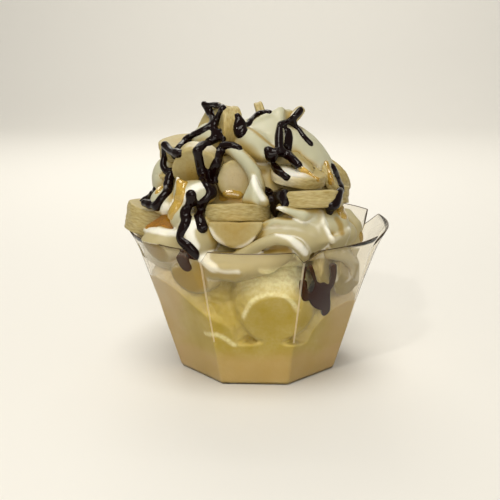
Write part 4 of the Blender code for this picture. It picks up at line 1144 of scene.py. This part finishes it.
def let_light_through(tree, shader, tint=(1.0, 1.0, 1.0, 1.0)):
    """Let lamps shine through a clear shader, so what stands behind it is lit."""
    lamp_ray = add(tree, "ShaderNodeLightPath", out="Is Shadow Ray")
    clear = add(tree, "ShaderNodeBsdfTransparent", {"Color": tint})
    surface = add(tree, "ShaderNodeMixShader", {0: lamp_ray, 1: shader.outputs[0], 2: clear})
    fill(tree, tree.nodes["Material Output"], {"Surface": surface})


def clear_pet(colours):
    """Thermoformed clear PET sheet: so thin that the food behind keeps its depth, with a faint gloss."""
    material, tree, shader = new_material("clear thermoformed PET")
    fill(tree, shader, {"Base Color": opaque(colours.cup), "Roughness": 0.03, "IOR": PET_IOR,
                        "Transmission Weight": 1.0, "Specular Tint": (0.15, 0.15, 0.15, 1.0)})
    let_light_through(tree, shader)
    return material


def cut_pet_edge():
    """Trimmed edge of the PET sheet, painted as a thin brown line: a painted dark refraction, standing in for
    the tones that the clear edge gathers round it.
    """
    material, tree, shader = new_material("trimmed PET edge")
    fill(tree, shader, {"Base Color": tone("cup_edge"), "Roughness": 0.2, "IOR": PET_IOR})
    return material


def folded_pet():
    """The sharp folds between the panels, where the sheet is drawn thin and whitened; its pale colour is
    partly a painted highlight along each fold.
    """
    material, tree, shader = new_material("drawn PET fold")
    fill(tree, shader, {
        "Base Color": tone("fold"),
        "Roughness": 0.3,
        "IOR": PET_IOR,
        "Transmission Weight": 0.72,
    })
    let_light_through(tree, shader)
    return material


def frozen_colour(tree, place, colours):
    """Speckled colour of frozen ice cream: pale crystals over a yellower crust."""
    crystals = add(tree, "ShaderNodeTexNoise", {"Vector": place, "Scale": per_mm(1.3), "Detail": 4.0})
    crust = add(tree, "ShaderNodeMapRange",
                {"Value": crystals, "From Min": 0.42, "From Max": 0.6, "To Min": 0.5, "To Max": 0.0})
    return layered(tree, opaque(colours.ice_cream), (crust, tone("ice_cream_crust")))


def vanilla_ice_cream(colours):
    """Scooped vanilla ice cream: icy and matt where it is free, wet and smooth where it melts; its colour
    where it melts is partly painted shade, darker lower down.
    """
    material, tree, shader, melted, pool, pressed = new_material(
        "scooped vanilla ice cream", "melted", "pool", "pressed")
    place = add(tree, "ShaderNodeTexCoord", out="Object")
    grains = add(tree, "ShaderNodeTexNoise", {"Vector": place, "Scale": per_mm(0.7), "Detail": 4.0})
    patches = add(tree, "ShaderNodeTexNoise", {"Vector": place, "Scale": per_mm(9.0), "Detail": 3.0})
    patches = add(tree, "ShaderNodeMapRange",
                  {"Value": patches, "From Min": 0.35, "From Max": 0.7, "To Min": 0.8})
    wet = add(tree, "ShaderNodeMath", {0: melted, 1: patches}, operation="MULTIPLY")
    fill(tree, shader, {
        # Where it melts the colour is partly painted shade, darker lower down
        "Base Color": layered(tree, frozen_colour(tree, place, colours), (wet, tone("ice_cream_melted")),
                              (pool, tone("ice_cream_pool"))),
        "Roughness": add(tree, "ShaderNodeMapRange", {"Value": melted, "To Min": 0.62, "To Max": 0.35}),
        "Subsurface Weight": 0.25,
        "Subsurface Radius": (1.0, 0.8, 0.45),
        "Subsurface Scale": 2.5 * MM,
        "IOR": 1.35,
        "Specular IOR Level": shine_off_the_wall(tree, pressed),
        "Normal": add(tree, "ShaderNodeBump", {"Height": grains, "Distance": 0.25 * MM, "Strength": 0.5}),
    })
    return material


def whipped_cream(colours):
    """Piped whipped cream: fine foam, soft and slightly wet, yellower with painted shade down in its folds
    and low down, and with painted highlights on its thin edges.
    """
    material, tree, shader, hollow, thin, icy, stain, pressed = new_material(
        "piped whipped cream", "hollow", "thin", "icy", "stain", "pressed")
    place = add(tree, "ShaderNodeTexCoord", out="Object")
    foam = add(tree, "ShaderNodeTexNoise", {"Vector": place, "Scale": per_mm(0.8), "Detail": 3.0})
    fill(tree, shader, {
        # Painted shade in hollows, low down and where pressed on the wall
        "Base Color": layered(tree, opaque(colours.cream), (hollow, tone("cream_hollow")),
                              # Painted highlight on thin edges, dimmed where shaded
                              (thin, tone("cream_edge")), (icy, frozen_colour(tree, place, colours)),
                              # Caramel stain, also painted shade
                              (stain, tone("stain"))),
        "Roughness": 0.42,
        "Subsurface Weight": 0.3,
        "Subsurface Radius": (1.0, 0.9, 0.6),
        "Subsurface Scale": 2.0 * MM,
        "IOR": 1.36,
        "Specular IOR Level": shine_off_the_wall(tree, pressed),
        "Normal": add(tree, "ShaderNodeBump", {"Height": foam, "Distance": 0.06 * MM, "Strength": 0.4}),
    })
    return material


def banana_seeds(tree, angle, radius):
    """How strongly the tiny seeds show: dots in a ring round the middle of the core."""
    polar = add(tree, "ShaderNodeCombineXYZ", {0: angle, 1: radius})
    polar = add(tree, "ShaderNodeVectorMath", {0: polar, 1: (2.4, 9.0, 0.0)}, operation="MULTIPLY")
    dots = add(tree, "ShaderNodeTexVoronoi", {"Vector": polar, "Scale": 1.0}, out="Distance")
    seeds = add(tree, "ShaderNodeMapRange",
                {"Value": dots, "From Min": 0.16, "From Max": 0.26, "To Min": 0.75, "To Max": 0.0})
    for inner, outer, first, last in ((0.12, 0.16, 0.0, 1.0), (0.30, 0.36, 1.0, 0.0)):
        share = add(tree, "ShaderNodeMapRange",
                    {"Value": radius, "From Min": inner, "From Max": outer, "To Min": first, "To Max": last})
        seeds = add(tree, "ShaderNodeMath", {0: seeds, 1: share}, operation="MULTIPLY")
    return seeds


def cut_banana(colours):
    """Ripe banana flesh, cut: starchy and moist, fibrous round the side, three seed rows in the core."""
    material, tree, shader, face, glaze, stain, pressed = new_material(
        "cut banana flesh", "face", "glaze", "stain", "pressed")
    cut = add(tree, "ShaderNodeAttribute", out="Vector", attribute_name="cut")
    side, rise, along = add(tree, "ShaderNodeSeparateXYZ", {0: cut}).node.outputs
    middle = add(tree, "ShaderNodeCombineXYZ", {0: side, 1: rise})
    radius = add(tree, "ShaderNodeVectorMath", {0: middle}, out="Value", operation="LENGTH")
    angle = add(tree, "ShaderNodeMath", {0: rise, 1: side}, operation="ARCTAN2")
    thrice = add(tree, "ShaderNodeMath", {0: angle, 1: 3.0}, operation="MULTIPLY")
    # Three lighter rays part the core
    rays = add(tree, "ShaderNodeMath", {0: thrice}, operation="COSINE")
    reach = add(tree, "ShaderNodeMapRange", {"Value": rays, "From Min": -1.0, "To Min": 0.40, "To Max": 0.56})
    depth = add(tree, "ShaderNodeMath", {0: reach, 1: radius}, operation="SUBTRACT")
    core = add(tree, "ShaderNodeMapRange",
               {"Value": depth, "From Min": -0.05, "From Max": 0.06, "To Max": 0.55})
    place = add(tree, "ShaderNodeTexCoord", out="Object")
    mottle = add(tree, "ShaderNodeTexNoise", {"Vector": place, "Scale": per_mm(1.6), "Detail": 3.0})
    patches = add(tree, "ShaderNodeMapRange",
                  {"Value": mottle, "From Min": 0.35, "From Max": 0.7, "To Max": 0.45})
    cut_face = layered(tree, tone("banana_cut"), (patches, tone("banana_side")), (core, tone("banana_core")),
                       (banana_seeds(tree, angle, radius), tone("banana_seed")))
    # The side is drawn out in fibres that run round the slice
    round_side = add(tree, "ShaderNodeCombineXYZ", {0: thrice, 1: along})
    fibres = add(tree, "ShaderNodeTexNoise", {"Vector": round_side, "Scale": 1.5, "Detail": 3.0})
    pale = add(tree, "ShaderNodeMapRange", {"Value": fibres, "From Min": 0.3, "From Max": 0.7})
    skin_side = layered(tree, tone("banana_side"), (pale, opaque(colours.banana)))
    height = layered(tree, fibres, (face, mottle))
    fill(tree, shader, {
        # Cream glaze, with painted light on lit tops and rims
        "Base Color": layered(tree, skin_side, (face, cut_face), (glaze, tone("milky")),
                              # Caramel stain, also painted shade on shaded faces
                              (stain, tone("stain"))),
        "Roughness": 0.45,
        "Subsurface Weight": 0.25,
        "Subsurface Radius": (1.0, 0.8, 0.4),
        "Subsurface Scale": 2.0 * MM,
        "IOR": 1.38,
        "Specular IOR Level": shine_off_the_wall(tree, pressed),
        "Normal": add(tree, "ShaderNodeBump", {"Height": height, "Distance": 0.25 * MM, "Strength": 0.5}),
    })
    return material


def chocolate_sauce(colours):
    """Chocolate syrup: nearly black and wet, with sharp reflections; brown where it is smeared thin."""
    material, tree, shader, smear, pressed = new_material("chocolate syrup", "smear", "pressed")
    fill(tree, shader, {
        "Base Color": layered(tree, opaque(colours.chocolate), (pressed, tone("chocolate_thin")),
                              (smear, tone("smear"))),
        "Roughness": 0.08,
        "IOR": 1.4,
        "Specular IOR Level": shine_off_the_wall(tree, pressed, 0.3),
    })
    return material


def caramel_sauce(colours):
    """Caramel syrup: clear golden amber, browner where it lies thick."""
    material, tree, shader, deep = new_material("caramel syrup", "deep")
    fill(tree, shader, {
        "Base Color": layered(tree, opaque(colours.caramel), (deep, tone("caramel_deep"))),
        "Roughness": 0.04,
        "IOR": 1.47,
        "Transmission Weight": 0.65,
        "Coat Weight": 1.0,
        "Coat Roughness": 0.03,
    })
    let_light_through(tree, shader, opaque(colours.caramel))
    return material


def matt_paper(colours):
    """Matt studio paper: an even pale ground that shows only soft shadows."""
    material, tree, shader = new_material("matt paper")
    fill(tree, shader, {"Base Color": opaque(colours.floor), "Roughness": 0.9})
    return material


# Settings that a user would change

def grain_property(name, food, spacing):
    """A setting for how finely a food is modelled, with its default in millimetres."""
    return FloatProperty(name=name, description="Spacing of the points on the " + food, default=spacing * MM,
                         min=spacing * MM / 2, unit="LENGTH")


def colour_property(name, key, description):
    """A colour setting with its default from the list of colours."""
    return FloatVectorProperty(name=name, description=description, default=tone(key)[:3],
                               subtype="COLOR", min=0.0, max=1.0, size=3)


class SundaeSizes(bpy.types.PropertyGroup):
    """How finely the food is modelled."""

    cream_cell: grain_property("Cream grain", "whipped cream", 0.8)
    scoop_cell: grain_property("Ice cream grain", "ice cream", 0.8)
    slice_cell: grain_property("Banana grain", "banana slices", 0.6)
    sauce_cell: grain_property("Sauce grain", "sauces", 0.4)


class SundaeColours(bpy.types.PropertyGroup):
    """Colours of the food, the cup and the floor."""

    cup: colour_property("Cup", "cup", "Cast of the clear cup")
    ice_cream: colour_property("Ice cream", "ice_cream", "Frozen part of the ice cream")
    cream: colour_property("Whipped cream", "cream", "Open surfaces of the whipped cream")
    banana: colour_property("Banana", "banana", "Flesh of the banana")
    chocolate: colour_property("Chocolate", "chocolate", "Chocolate syrup")
    caramel: colour_property("Caramel", "caramel", "Caramel syrup")
    floor: colour_property("Floor", "floor", "Floor and backdrop")


# Pieces

def cup_rings(angles, levels):
    """Rings of points up the cup's outside, over its lip and down its inside."""
    rings = []

    def ring(level, inset, lift=0.0):
        height = np.full(len(angles), float(level))
        if level > KNEE_HEIGHT:
            height = level - (level - KNEE_HEIGHT) / (CUP_HEIGHT - KNEE_HEIGHT) * rim_dip(angles)
        radius = cup_radius(angles, height) - inset
        rings.append(np.column_stack((radius * np.cos(angles), radius * np.sin(angles), height + lift)))

    for turn in np.linspace(0.0, math.pi / 2, FOOT_STEPS):
        ring(0.0, FOOT_BEVEL * (1.0 - math.sin(turn)), FOOT_BEVEL * (1.0 - math.cos(turn)))
    for level in levels:
        ring(level, 0.0)
    for turn in np.linspace(0.0, math.pi, LIP_STEPS)[1:-1]:
        ring(CUP_HEIGHT - WALL / 2, WALL / 2 * (1.0 - math.cos(turn)), WALL / 2 * math.sin(turn))
    for level in levels[::-1]:
        ring(level, WALL)
    ring(FLOOR, WALL + FOOT_BEVEL)
    return rings


def build_cup_shell(colours):
    """The clear cup as one thin skin with a rounded lip, its cut edge painted brown as a painted dark
    refraction, and its folds whitened, with a painted highlight.
    """
    step = 360.0 / PANELS
    near = np.concatenate((np.linspace(-FOLD_SPREAD, FOLD_SPREAD, FOLD_POINTS),
                           np.linspace(PANEL_START, step - PANEL_START, PANEL_POINTS)))
    angles = np.radians(np.concatenate([step * panel + step / 2 + near for panel in range(PANELS)]))
    levels = np.linspace(FOOT_BEVEL * 2, CUP_HEIGHT - WALL / 2, WALL_LEVELS)
    rings = cup_rings(angles, levels)
    count = len(angles)
    points = np.concatenate(rings + [np.array(((0.0, 0.0, 0.0), (0.0, 0.0, FLOOR)))])
    here = np.arange(count)
    right = np.roll(here, -1)
    faces = []
    for row in range(len(rings) - 1):
        low = row * count
        high = low + count
        faces += np.column_stack((low + here, low + right, high + right, high + here)).tolist()
    under = len(points) - 2
    last = (len(rings) - 1) * count
    faces += [(under, int(right[i]), i) for i in range(count)]
    faces += [(under + 1, last + i, last + int(right[i])) for i in range(count)]
    # The lip takes the painted dark edge, the folds the pale fold with its painted highlight
    piece = mesh_piece("cup_shell", points, faces, [clear_pet(colours), cut_pet_edge(), folded_pet()])
    lip = FOOT_STEPS + WALL_LEVELS - 1
    for index in range(lip * count, (lip + LIP_STEPS - 1) * count):
        piece.data.polygons[index].material_index = EDGE_PLACE
    off_corner = corner_offset((angles + np.roll(angles, -1)) / 2)
    for row, level in enumerate(levels[:-1]):
        if level > GROOVE_START:
            for column in np.flatnonzero(off_corner < FOLD_HALF_ANGLE):
                piece.data.polygons[(row + FOOT_STEPS) * count + int(column)].material_index = FOLD_PLACE
    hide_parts("cup")


def build_ice_cream(sizes, colours):
    """Scoops that have run together as they melt, pressed flat by the wall."""
    grid = grid_over(*ICE_BOX, sizes.scoop_cell / MM)
    field = ice_cream_distance(*open_grid(grid))
    cut_out_slices(field, grid)
    piece, points = sculpt("ice_cream_scoops", *largest(*skin(field, grid)), vanilla_ice_cream(colours))
    height = points[:, 2]
    free = free_at(points)
    rough = relief(points, ICE_RELIEF)
    frozen = border(points, height, *FROZEN_BORDER)
    pits = (1.0 - free) * frozen * np.minimum(rough - PIT_START, 0.0)
    shift(piece, points, ICE_RELIEF_SHARE * free * rough + PIT_SHARE * pits)
    # Firm and pale high up and where free: partly painted light from above
    firm = np.maximum(smooth_step((height - FIRM_HEIGHT) / FIRM_FADE) * free, frozen)
    # Painted highlights: pale arcs along the ice cream's edges
    edges = painted(points, lay_on(ICE_EDGES, VIEWPOINT, lambda places: ice_cream_distance(*places.T)))
    pool = border(points, height, *POOL_BORDER)
    # Paler towards the sides of the cup
    film = border(points, np.abs(points[:, 0]), *FILM_BORDER)
    mark(piece, melted=(1.0 - firm) * (1.0 - ICE_EDGE_SHARE * edges),
         pool=np.maximum((POOL_SHARE + POOL_SIDE_GAIN * film) * pool, FILM_SHARE * film),
         pressed=pressed_at(points) * (1.0 - frozen))
    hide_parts("ice_cream")


def build_cream(sizes, colours):
    """Piped whipped cream, shaped round the slices that lie in it."""
    grid = grid_over(*CREAM_BOX, sizes.cream_cell / MM)
    field = empty_field(grid)
    for form in cream_forms():
        add_form(field, grid, form, CREAM_BLEND)
    cut_out_slices(field, grid)
    x, y, z = open_grid(grid)
    field = np.maximum(field, CREAM_GAP - scoop_distance(x, y, z, HIDDEN_BLEND))
    field = np.maximum(field, CREAM_BOTTOM - z)
    field = np.maximum(field, cavity_distance(x, y, z))
    piece, points = sculpt("piped_cream", *largest(*skin(field, grid)), whipped_cream(colours))
    points = shift(piece, points, relief(points, CREAM_RELIEF) * free_at(points))
    outward = normals_of(piece)
    surface = food_surface()
    # Painted shade: darker and yellower lower down, in the hollows, and where pressed on the wall
    hollow = WET_SHARE * border(points, points[:, 2], *WET_BORDER)
    for reach, share in HOLLOW_REACHES:
        hollow = np.maximum(hollow, share * smooth_step(1.0 - surface(points + outward * reach) / reach))
    depth = -distance_at(cream_forms(), points - outward * THIN_REACH, CREAM_BLEND)
    pressed = pressed_at(points)
    shades, edges, stains, icy = (painted(points, lay_on(lines, VIEWPOINT, surface))
                                  for lines in (CREAM_SHADES, CREAM_EDGES, STAIN_LINES, ICY_CREAM))
    # Thin edges and the edge runs take a painted highlight, dimmed where shaded
    thin = smooth_step(THIN_GAIN * (1.0 - depth / THIN_REACH)) * (1.0 - SHADE_SHARE * shades)
    mark(piece, pressed=pressed,
         hollow=np.maximum(hollow, PRESSED_SHARE * pressed),
         thin=np.maximum(thin, EDGE_SHARE * edges),
         icy=icy * smooth_step((ICY_TOP - points[:, 2]) / ICY_FADE),
         # Caramel stain spots and lines, partly painted shade
         stain=np.maximum(spots_at(points, CARAMEL_STAINS), STAIN_SHARE * stains))
    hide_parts("whipped_cream")


def slice_field(index, cell):
    """A slice in its own frame, cut clear of those placed before it, with its grid."""
    entry = SLICES[index]
    name, centre, direction, radius, thickness = entry
    axis, across, upward = axes_along(direction)
    turn = np.array((across, upward, axis)).T
    reach = np.array((radius * SLICE_ROOM, radius * SLICE_ROOM, thickness / 2)) + SLICE_MARGIN
    grid = grid_over(-reach, reach, cell)
    u, v, w = np.meshgrid(*grid, indexing="ij")
    world = np.array(centre)[:, None] + turn @ np.stack((u.ravel(), v.ravel(), w.ravel()))
    field = slice_distance(entry)[0][0](*world)
    field = field + SLICE_RELIEF * wobble(world.T, SLICE_RELIEF_SIZE, index) * (field > -SLICE_SKIN)
    for other in SLICES[:index]:
        gap = np.linalg.norm(np.array(centre) - np.array(other[1]))
        if gap < radius + other[3] + SLICE_NEAR:
            field = np.maximum(field, SLICE_GAP - slice_distance(other)[0][0](*world))
    if name in PRESSED_SLICES:
        field = np.maximum(field, cavity_distance(*world))
    return field.reshape(u.shape), grid, turn


def build_slices(sizes, colours):
    """Every banana slice in its own frame, with fibres round its side and a sunken core."""
    material = cut_banana(colours)
    # Painted highlights along the rims of the slices
    rims = lay_on(SLICE_RIMS, VIEWPOINT, food_surface())
    for index, (name, centre, _, radius, _) in enumerate(SLICES):
        field, grid, turn = slice_field(index, sizes.slice_cell / MM)
        place = Matrix.Translation(Vector(centre) * MM) @ Matrix(turn.tolist()).to_4x4()
        piece, points = sculpt("slice_" + name, *largest(*skin(field, grid)), material, 1, place)
        side, rise, along = points.T
        face = smooth_step((np.abs(normals_of(piece)[:, 2]) - FACE_START) / FACE_FADE)
        round_side = np.arctan2(rise, side) * radius
        own = np.full(len(points), FIBRE_OFFSET * index)
        fibre_place = np.column_stack((round_side / FIBRE_LENGTH, along / FIBRE_WIDTH, own))
        fibres = FIBRE_RELIEF * wobble(fibre_place, 1.0, FIBRE_SEED + index) * (1.0 - face)
        core = smooth_step((CORE_SHARE - np.hypot(side, rise) / radius) / CORE_FADE)
        shift(piece, points, fibres + CORE_SINK * (core - 1.0) * face)
        layer = piece.data.attributes.new("cut", "FLOAT_VECTOR", "POINT")
        local = np.column_stack((side / radius, rise / radius, along))
        layer.data.foreach_set("vector", local.astype(np.float32).ravel())
        world = np.array(centre) + points @ turn.T
        mark(piece, face=face, pressed=pressed_at(world), stain=spots_at(world, CARAMEL_STAINS),
             # Glaze, painted light on lit tops, and painted rim highlights
             glaze=np.maximum(spots_at(world, MILKY_SPOTS), RIM_SHARE * painted(world, rims)))
        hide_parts("banana_slice_" + name)


def loose_parts(runs, surface):
    """The stretches of sauce that bridge free space, clear of the food."""
    loose = []
    for run in runs:
        middles = np.array([(part[1] + part[2]) / 2 for part in run])
        reaches = np.array([(part[2] - part[1]).min() / 2 for part in run])
        free = surface(middles) > BRIDGE_SHARE * reaches
        if free.any():
            loose.append([part for part, kept in zip(run, free) if kept])
    return loose


def build_sauce(name, runs, hanging, surface, cell, material, depth):
    """One sauce as a skin over its runs: as deep as stated on the food, or full where it hangs free."""
    hanging = hanging + loose_parts(runs, surface)
    every = runs + hanging
    low = np.min([part[1] for run in every for part in run], axis=0) - SAUCE_MARGIN
    high = np.max([part[2] for run in every for part in run], axis=0) + SAUCE_MARGIN
    grid = grid_over(low, high, cell)
    field = empty_field(grid).astype(np.float32)
    for run in runs:
        add_form(field, grid, run, SAUCE_BLEND, SAUCE_FORM_MARGIN)
    near = field < SAUCE_SPREAD
    points = np.column_stack([np.broadcast_to(values, field.shape)[near] for values in open_grid(grid)])
    ground = surface(points)
    gap = field[near] + relief(points, SAUCE_RELIEF)
    gap = -blend(-gap, depth - ground, depth)
    foot = blend(gap, ground + FEATHER_DEPTH, FEATHER_BLEND)
    field[near] = np.maximum(foot, gap - FEATHER_REACH)
    for run in hanging:
        add_form(field, grid, run, SAUCE_BLEND, SAUCE_FORM_MARGIN)
    field = np.maximum(field, wall_distance(*open_grid(grid), -SAUCE_INTO_WALL))
    piece, points = sculpt(name, *skin(field, grid), material)
    mark(piece, pressed=pressed_at(points))
    return piece, points


def build_chocolate(sizes, colours):
    """Every run of chocolate on the food and down inside the wall."""
    surface = food_surface()
    runs = lay_on(CHOCOLATE_RUNS, VIEWPOINT, surface, SINK)
    runs += lay_on(BACK_RUNS, BACK_VIEWPOINT, surface, SINK)
    hanging = lay_on(WALL_RUNS + WALL_SMEARS, VIEWPOINT,
                     lambda places: wall_distance(*places.T, 0.0), -OFF_WALL)
    piece, points = build_sauce("chocolate_runs", runs, hanging, surface, sizes.sauce_cell / MM,
                                chocolate_sauce(colours), CHOCOLATE_DEPTH)
    thick = distance_at(hanging[:len(WALL_RUNS)], points, SAUCE_BLEND)
    thin = distance_at(hanging[len(WALL_RUNS):], points, SAUCE_BLEND)
    mark(piece, smear=smooth_step(SMEAR_REACH - thin) * smooth_step(thick / SMEAR_FADE))
    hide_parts("whipped_cream")


def build_caramel(sizes, colours):
    """Pools and streams of caramel."""
    surface = food_surface()
    runs = lay_on(CARAMEL_RUNS, VIEWPOINT, surface, CARAMEL_SINK)
    runs += lay_on(BACK_CARAMEL_RUNS, BACK_VIEWPOINT, surface, CARAMEL_SINK)
    pool = [flap(corners) for corners in CARAMEL_POOL]
    piece, points = build_sauce("caramel_runs", runs, pool, surface, sizes.sauce_cell / MM,
                                caramel_sauce(colours), CARAMEL_DEPTH)
    shift(piece, points, relief(points, CARAMEL_RELIEF))
    mark(piece, deep=smooth_step(POOL_REACH - distance_at(pool, points, POOL_BLEND)))


def build_floor(colours):
    """Pale floor that sweeps up behind."""
    profile = [(FLOOR_FRONT, 0.0), (SWEEP_START, 0.0)]
    for turn in np.linspace(SWEEP_FIRST_TURN, math.pi / 2, SWEEP_STEPS):
        profile.append((SWEEP_START + SWEEP_RADIUS * math.sin(turn), SWEEP_RADIUS * (1.0 - math.cos(turn))))
    profile.append((SWEEP_START + SWEEP_RADIUS, SWEEP_TOP))
    points = np.array([(x, y, z) for y, z in profile for x in (-FLOOR_SIDE, FLOOR_SIDE)])
    faces = [(2 * i, 2 * i + 1, 2 * i + 3, 2 * i + 2) for i in range(len(profile) - 1)]
    floor = place_object("floor", smooth_mesh("floor", points, faces, [matt_paper(colours)]))


def build_lights():
    """Soft studio lights round the sundae, and a pale studio behind it."""
    for name, place, size, power in LIGHTS:
        lamp = bpy.data.lights.new(name, "AREA")
        lamp.energy = power
        lamp.size = size
        lamp.color = tone("light")[:3]
        holder = place_object(name, lamp)
        aim = LIT_BACKDROP if name == "backdrop light" else LIT_FOOD
        holder.location = place
        holder.rotation_euler = (aim - Vector(place)).to_track_quat("-Z", "Y").to_euler()
    world = bpy.data.worlds.new("studio")
    world.use_nodes = True
    tree = world.node_tree
    seen = add(tree, "ShaderNodeLightPath", out="Is Camera Ray")
    strength = add(tree, "ShaderNodeMapRange", {"Value": seen, "To Min": STUDIO_LIGHT, "To Max": STUDIO_SEEN})
    light = add(tree, "ShaderNodeBackground", {"Color": tone("light"), "Strength": strength})
    fill(tree, tree.nodes["World Output"], {"Surface": light})
    bpy.context.scene.world = world


def build_camera():
    """The camera as the photograph was taken."""
    camera = bpy.data.cameras.new("photograph camera")
    camera.lens = LENS
    camera.sensor_width = SENSOR
    camera.clip_start = NEAREST_SEEN * MM
    turn = Matrix.Rotation(VIEW_TURN, 4, "Z") @ Matrix.Rotation(math.pi / 2 - VIEW_PITCH, 4, "X")
    turn = turn @ Matrix.Rotation(VIEW_ROLL, 4, "Z")
    holder = place_object("photograph camera", camera, Matrix.Translation(Vector(VIEWPOINT) * MM) @ turn)
    bpy.context.scene.camera = holder
    bpy.context.scene.view_settings.view_transform = "Standard"


class SUNDAE_OT_cup(bpy.types.Operator):
    """Build the clear cup"""

    bl_idname = "sundae.cup"
    bl_label = "Cup"

    def execute(self, context):
        build_cup_shell(context.scene.sundae_colours)
        return {"FINISHED"}


class SUNDAE_OT_ice_cream(bpy.types.Operator):
    """Build the scoops of ice cream"""

    bl_idname = "sundae.ice_cream"
    bl_label = "Ice Cream"

    def execute(self, context):
        build_ice_cream(context.scene.sundae_sizes, context.scene.sundae_colours)
        return {"FINISHED"}


class SUNDAE_OT_cream(bpy.types.Operator):
    """Build the piped whipped cream"""

    bl_idname = "sundae.cream"
    bl_label = "Whipped Cream"

    def execute(self, context):
        build_cream(context.scene.sundae_sizes, context.scene.sundae_colours)
        return {"FINISHED"}


class SUNDAE_OT_banana(bpy.types.Operator):
    """Build the banana slices"""

    bl_idname = "sundae.banana"
    bl_label = "Banana Slices"

    def execute(self, context):
        build_slices(context.scene.sundae_sizes, context.scene.sundae_colours)
        return {"FINISHED"}


class SUNDAE_OT_chocolate(bpy.types.Operator):
    """Run chocolate sauce over the food"""

    bl_idname = "sundae.chocolate"
    bl_label = "Chocolate Sauce"

    def execute(self, context):
        build_chocolate(context.scene.sundae_sizes, context.scene.sundae_colours)
        return {"FINISHED"}


class SUNDAE_OT_caramel(bpy.types.Operator):
    """Pour caramel sauce into the hollows"""

    bl_idname = "sundae.caramel"
    bl_label = "Caramel Sauce"

    def execute(self, context):
        build_caramel(context.scene.sundae_sizes, context.scene.sundae_colours)
        return {"FINISHED"}


class SUNDAE_OT_stage(bpy.types.Operator):
    """Set the floor, the lights and the camera"""

    bl_idname = "sundae.stage"
    bl_label = "Stage"

    def execute(self, context):
        build_floor(context.scene.sundae_colours)
        build_lights()
        build_camera()
        return {"FINISHED"}


OPERATORS = (SUNDAE_OT_cup, SUNDAE_OT_ice_cream, SUNDAE_OT_cream, SUNDAE_OT_banana, SUNDAE_OT_chocolate,
             SUNDAE_OT_caramel, SUNDAE_OT_stage)


class SUNDAE_PT_panel(bpy.types.Panel):
    """Sizes, colours and pieces of the sundae"""

    bl_idname = "SUNDAE_PT_panel"
    bl_label = "Banana Sundae"
    bl_space_type = "VIEW_3D"
    bl_region_type = "UI"
    bl_category = "Sundae"

    def draw(self, context):
        for group in (context.scene.sundae_sizes, context.scene.sundae_colours):
            for key in group.__annotations__:
                self.layout.prop(group, key)
        for operator in OPERATORS:
            self.layout.operator(operator.bl_idname)


CLASSES = (SundaeSizes, SundaeColours) + OPERATORS + (SUNDAE_PT_panel,)


def register():
    """Register the classes and the settings."""
    for made in CLASSES:
        bpy.utils.register_class(made)
    bpy.types.Scene.sundae_sizes = PointerProperty(type=SundaeSizes)
    bpy.types.Scene.sundae_colours = PointerProperty(type=SundaeColours)


def unregister():
    """Remove the settings and the classes."""
    del bpy.types.Scene.sundae_sizes
    del bpy.types.Scene.sundae_colours
    for made in reversed(CLASSES):
        bpy.utils.unregister_class(made)


def main():
    """Build every piece in order."""
    register()
    bpy.ops.sundae.cup()
    bpy.ops.sundae.ice_cream()
    bpy.ops.sundae.cream()
    bpy.ops.sundae.banana()
    bpy.ops.sundae.chocolate()
    bpy.ops.sundae.caramel()
    bpy.ops.sundae.stage()


if __name__ == "__main__":
    main()
